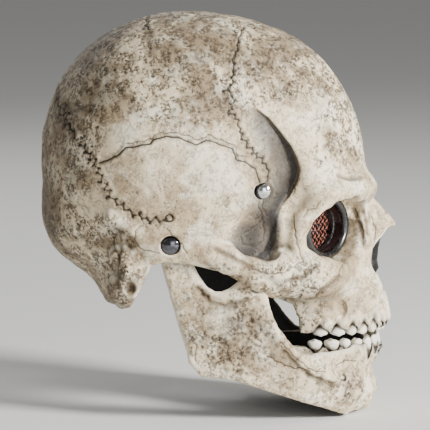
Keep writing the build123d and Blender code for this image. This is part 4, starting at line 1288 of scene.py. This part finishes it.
def smooth_path(knots):
    """Points about every millimetre along a Catmull-Rom curve through the knots."""
    knots = np.array(knots, float)
    knots = np.concatenate([[2 * knots[0] - knots[1]], knots, [2 * knots[-1] - knots[-2]]])
    spots = []
    for a, b, c, d in zip(knots, knots[1:], knots[2:], knots[3:]):
        bend, twist = 2 * a - 5 * b + 4 * c - d, 3 * b - a - 3 * c + d
        for t in np.linspace(0, 1, max(2, int(np.linalg.norm(c - b))), endpoint=False):
            spots.append(0.5 * (2 * b + (c - a) * t + bend * t**2 + twist * t**3))
    return np.array(spots + [knots[-2]])


def strap(name, path, across, width, thickness):
    """A woven strap: rounded edges, a thick selvedge, and a slight ripple. Its UVs run in millimetres."""
    across = np.array(across, float) / np.linalg.norm(across)
    out = np.cross(unit(np.gradient(path, axis=0)), across)
    walked = walked_along(path)
    shares = np.array([-1, -0.97, -0.88, -0.8, -0.4, 0, 0.4, 0.8, 0.88, 0.97, 1])
    thick = np.array([0.25, 0.8, 1.0, 0.86, 0.84, 0.84, 0.84, 0.86, 1.0, 0.8, 0.25])
    section = np.concatenate([np.column_stack([shares, thick]), np.column_stack([shares, -thick])[::-1]])
    ends = np.minimum(walked, walked[-1] - walked)
    narrowing = np.sqrt(np.clip(1 - (1 - np.clip(ends / 1.5, 0, 1)) ** 2, 0.55, 1))
    wave = 0.12 * np.sin(walked / 2.3) * np.clip(ends / 4, 0, 1)
    u = section[:, 0] * width / 2
    v = section[:, 1] * thickness / 2
    sideways, outward = u * narrowing[:, None], v + wave[:, None]
    rings = path[:, None] + across * sideways[..., None] + out[:, None] * outward[..., None]
    rows, sides = len(path), len(section)
    cap = np.array([[j, sides - 1 - j, sides - 2 - j, j + 1] for j in range(sides // 2 - 1)])
    far_cap = (rows - 1) * sides + cap[:, [0, 3, 2, 1]]
    piece = mesh_object(name, rings.reshape(-1, 3), np.concatenate([ring_faces(rows, sides), cap, far_cap]))
    layer = piece.data.uv_layers.new(name="UVMap")
    corners = np.empty(len(piece.data.loops), np.int32)
    piece.data.loops.foreach_get("vertex_index", corners)
    uv = np.column_stack([walked[corners // sides], u[corners % sides]])
    layer.data.foreach_set("uv", uv.astype(F4).ravel())
    return piece


def block(low, high, round_off):
    """A box with rounded edges."""
    centre = [(a + b) / 2 for a, b in zip(low, high)]
    half = [(b - a) / 2 - round_off for a, b in zip(low, high)]

    def measure(x, y, z):
        q = [np.abs(v - c) - h for v, c, h in zip((x, y, z), centre, half)]
        outside = np.sqrt(sum(np.maximum(v, 0) ** 2 for v in q))
        return outside + np.minimum(np.maximum(np.maximum(q[0], q[1]), q[2]), 0) - round_off

    return shape(low, high, measure)


def foam_pad(node, lining, thickness, step=0.9):
    """A foam pad that lies on a curved lining, in the space of its CAD solid: crowned, with soft edges."""
    low, high = (np.array(corner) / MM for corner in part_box(node))
    side = "right" if high[0] < 0 else "left" if low[0] > 0 else None
    if side == "right":
        low[0], high[0] = -high[0], -low[0]
    start = [max(low[0], 0) - (2 if side else 0), low[1] - 2, low[2] - 2]
    clay = Clay(start, high + 2, step)
    x, y, z = np.ix_(*clay.axes)
    level = lining(x, y, z) + 0.3 + thickness / 2
    frame_low = [low[0] if side else -high[0], low[1], low[2]]
    frame = block(frame_low, high, 5.0)(x, y, z)
    crowned = thickness / 2 - 1.3 * bell(np.minimum(frame, 0), 7)
    clay.d = -smooth_min(-(np.abs(level) - crowned).astype(F4), -frame.astype(F4), 2.5)
    piece, points = cast(clay, f"{node}_foam", side)
    normals = clay.slope(points)
    move_points(piece, points + normals * (0.25 * lumps(points, 6, 71, 2) - 0.25)[:, None])
    return piece


def head_lining(x, y, z):
    """Distance to the inside of the braincase."""
    return np.minimum(ball(*PARIETAL)(x, y, z), ball(*FRONTAL)(x, y, z)) + WALL


def chin_lining(x, y, z):
    """Distance to the inside of the jaw."""
    return horseshoe(x, y, z) + JAW_WALL


def place(piece, body, material, material_slot, *nodes):
    """Puts a piece on its body, in its paint, and in the place of its CAD nodes."""
    piece.data.materials.clear()
    piece.data.materials.append(material)
    if nodes:
        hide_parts(*nodes)
    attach(piece, body)
    return piece


# ================================================================ the assembly
bone, enamel, rubber = bone_latex(), tooth_enamel(), gloss_rubber()
dark_latex, wire, foam = black_latex(), copper_wire(), open_foam()
upper_teeth, upper_spots = tooth_row("upper_teeth", UPPER_ARCH, UPPER_EDGE, False)
lower_teeth, lower_spots = tooth_row("lower_teeth", LOWER_ARCH, LOWER_EDGE, True)
place(upper_teeth, "skull", enamel, "tooth_enamel", "upper_tooth_row")
place(lower_teeth, "jaw", enamel, "tooth_enamel", "lower_tooth_row")
place(skull_casting(0.9, upper_spots), "skull", bone, "bone_latex", "skull_shell")
place(jaw_casting(0.8, lower_spots), "jaw", bone, "bone_latex", "jaw_shell")
place(nose_lining(), "skull", dark_latex, "black_latex", "nose_insert")
for side in ("right", "left"):
    place(eye_cup(side), "skull", rubber, "gloss_black_rubber", f"eye_cup_{side}")
    place(eye_mesh(side), "skull", wire, "eye_mesh", f"eye_mesh_{side}")

for node in ("forehead_pad", "crown_pad", "rear_pad", "side_pad_right", "side_pad_left"):
    place(foam_pad(node, head_lining, 7.0), "skull", foam, "foam", node)
place(foam_pad("chin_pad", chin_lining, 9.0), "jaw", foam, "foam", "chin_pad")

# The band runs from temple to temple round the back of the wearer's head, at one height: (X, Y).
HALF_BAND = [(62.05, -67), (62.05, -60), (62.05, -52), (67, -30), (72, 5), (63, 42), (38, 67), (0, 75)]
BAND_WIDTH, BAND_THICKNESS = 20, 1.5
elastic = woven_elastic()
loop = [(x, y, TEMPLE[1]) for x, y in HALF_BAND] + [(-x, y, TEMPLE[1]) for x, y in HALF_BAND[-2::-1]]
band = strap("head_band_elastic", smooth_path(loop), (0, 0, 1), BAND_WIDTH, BAND_THICKNESS)
place(band, "skull", elastic, "black_elastic", "head_band")

# Each jaw elastic drops from the temple rivet, inside the cheekbone, to the jaw: (X, Z).
JAW_DROP = [(60.7, 41.5), (60.7, 35), (60, 27), (55, 9), (50.4, -7), (55, -17.5)]
JAW_DROP += [(62, -25), (62, -30), (62, -36.5)]
DROP_Y, DROP_WIDTH, DROP_THICKNESS = -59, 13, 1.2
for side, sign in (("right", -1), ("left", 1)):
    route = smooth_path([(sign * x, DROP_Y, z) for x, z in JAW_DROP])
    piece = strap(f"jaw_elastic_{side}_strap", route, (0, 1, 0), DROP_WIDTH, DROP_THICKNESS)
    piece.data.materials.append(elastic)
    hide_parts(f"jaw_elastic_{side}")
    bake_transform(piece)

# The chin strap hangs a little between the sides of the jaw, and slopes as its CAD box does.
CHIN_THICKNESS, CHIN_SAG = 1.6, 0.9
low, high = (np.array(corner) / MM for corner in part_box("chin_strap"))
middle = (low + high) / 2
slope = (0, low[1] - high[1], high[2] - low[2] - CHIN_THICKNESS)
across = np.linspace(low[0], high[0], 9)
hang = [(x, middle[1], middle[2] - CHIN_SAG + CHIN_SAG * (x / high[0]) ** 2) for x in across]
chin_strap = strap("chin_strap_elastic", smooth_path(hang), slope, math.hypot(*slope), CHIN_THICKNESS)
place(chin_strap, "jaw", elastic, "black_elastic", "chin_strap")

# The rivets and the bearings keep their CAD shapes.
chrome = metal("chrome", tone(226, 227, 230), tone(150, 148, 146), 0.07)
dark_chrome = metal("dark_chrome", tone(104, 105, 110), tone(60, 58, 58), 0.1)
plated = metal("plated_steel", tone(190, 190, 192), tone(120, 116, 112), 0.22)
brass = metal("brass", tone(186, 160, 98), tone(112, 90, 56), 0.25)
for name, paint in (
    ("temple_rivet", chrome),
    ("hinge_rivet", dark_chrome),
    ("elastic_rivet", dark_chrome),
    ("hinge_rivet_back", plated),
    ("temple_rivet_back", plated),
    ("hinge_washer", plated),
    ("hinge_eyelet", brass),
):
    for side in ("right", "left"):
        for material_slot in frame["nodes"][f"{name}_{side}"].material_slots:
            material_slot.material = paint

# ================================================================ floor, light and camera
lowest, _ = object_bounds()
bpy.ops.mesh.primitive_plane_add(size=60, location=(0, 0, lowest.z - 0.001))
floor = bpy.context.object
floor.name = "studio_floor"
floor_paint = Paint("studio_floor", Roughness=0.9, Specular_IOR_Level=0.1)
floor.data.materials.append(floor_paint.finish(tone(240, 239, 236)))

world = bpy.data.worlds.new("studio")
world.use_nodes = True
background = world.node_tree.nodes["Background"].inputs
background["Color"].default_value = (1, 1, 1, 1)
background["Strength"].default_value = 0.22
bpy.context.scene.world = world

AIM = Vector((0, -0.0293, 0.0104))


def soft_light(name, place, size, watts):
    """A square lamp at a place measured from the aim, turned towards it."""
    light = bpy.data.lights.new(name, "AREA")
    light.size, light.energy = size, watts
    lamp = bpy.data.objects.new(name, light)
    lamp.location = AIM + Vector(place)
    lamp.rotation_euler = (-Vector(place)).to_track_quat("-Z", "Y").to_euler()
    bpy.context.scene.collection.objects.link(lamp)


soft_light("key_light", (-0.95, -1.6, 0.7), 0.42, 92)
soft_light("fill_light", (-1.7, -0.5, 0.3), 0.9, 8)
soft_light("rim_light", (1.3, 0.9, 1.2), 1.0, 10)

AZIMUTH, ELEVATION, DISTANCE, VIEW_WIDTH = math.radians(-90), math.radians(7), 1.75, 0.297
camera = bpy.data.objects.new("camera", bpy.data.cameras.new("camera"))
level = math.cos(ELEVATION)
away = Vector((math.sin(AZIMUTH) * level, -math.cos(AZIMUTH) * level, math.sin(ELEVATION)))
camera.location = AIM + away * DISTANCE
camera.rotation_euler = (-away).to_track_quat("-Z", "Y").to_euler()
camera.data.lens = camera.data.sensor_width * DISTANCE / VIEW_WIDTH
bpy.context.scene.collection.objects.link(camera)
bpy.context.scene.camera = camera
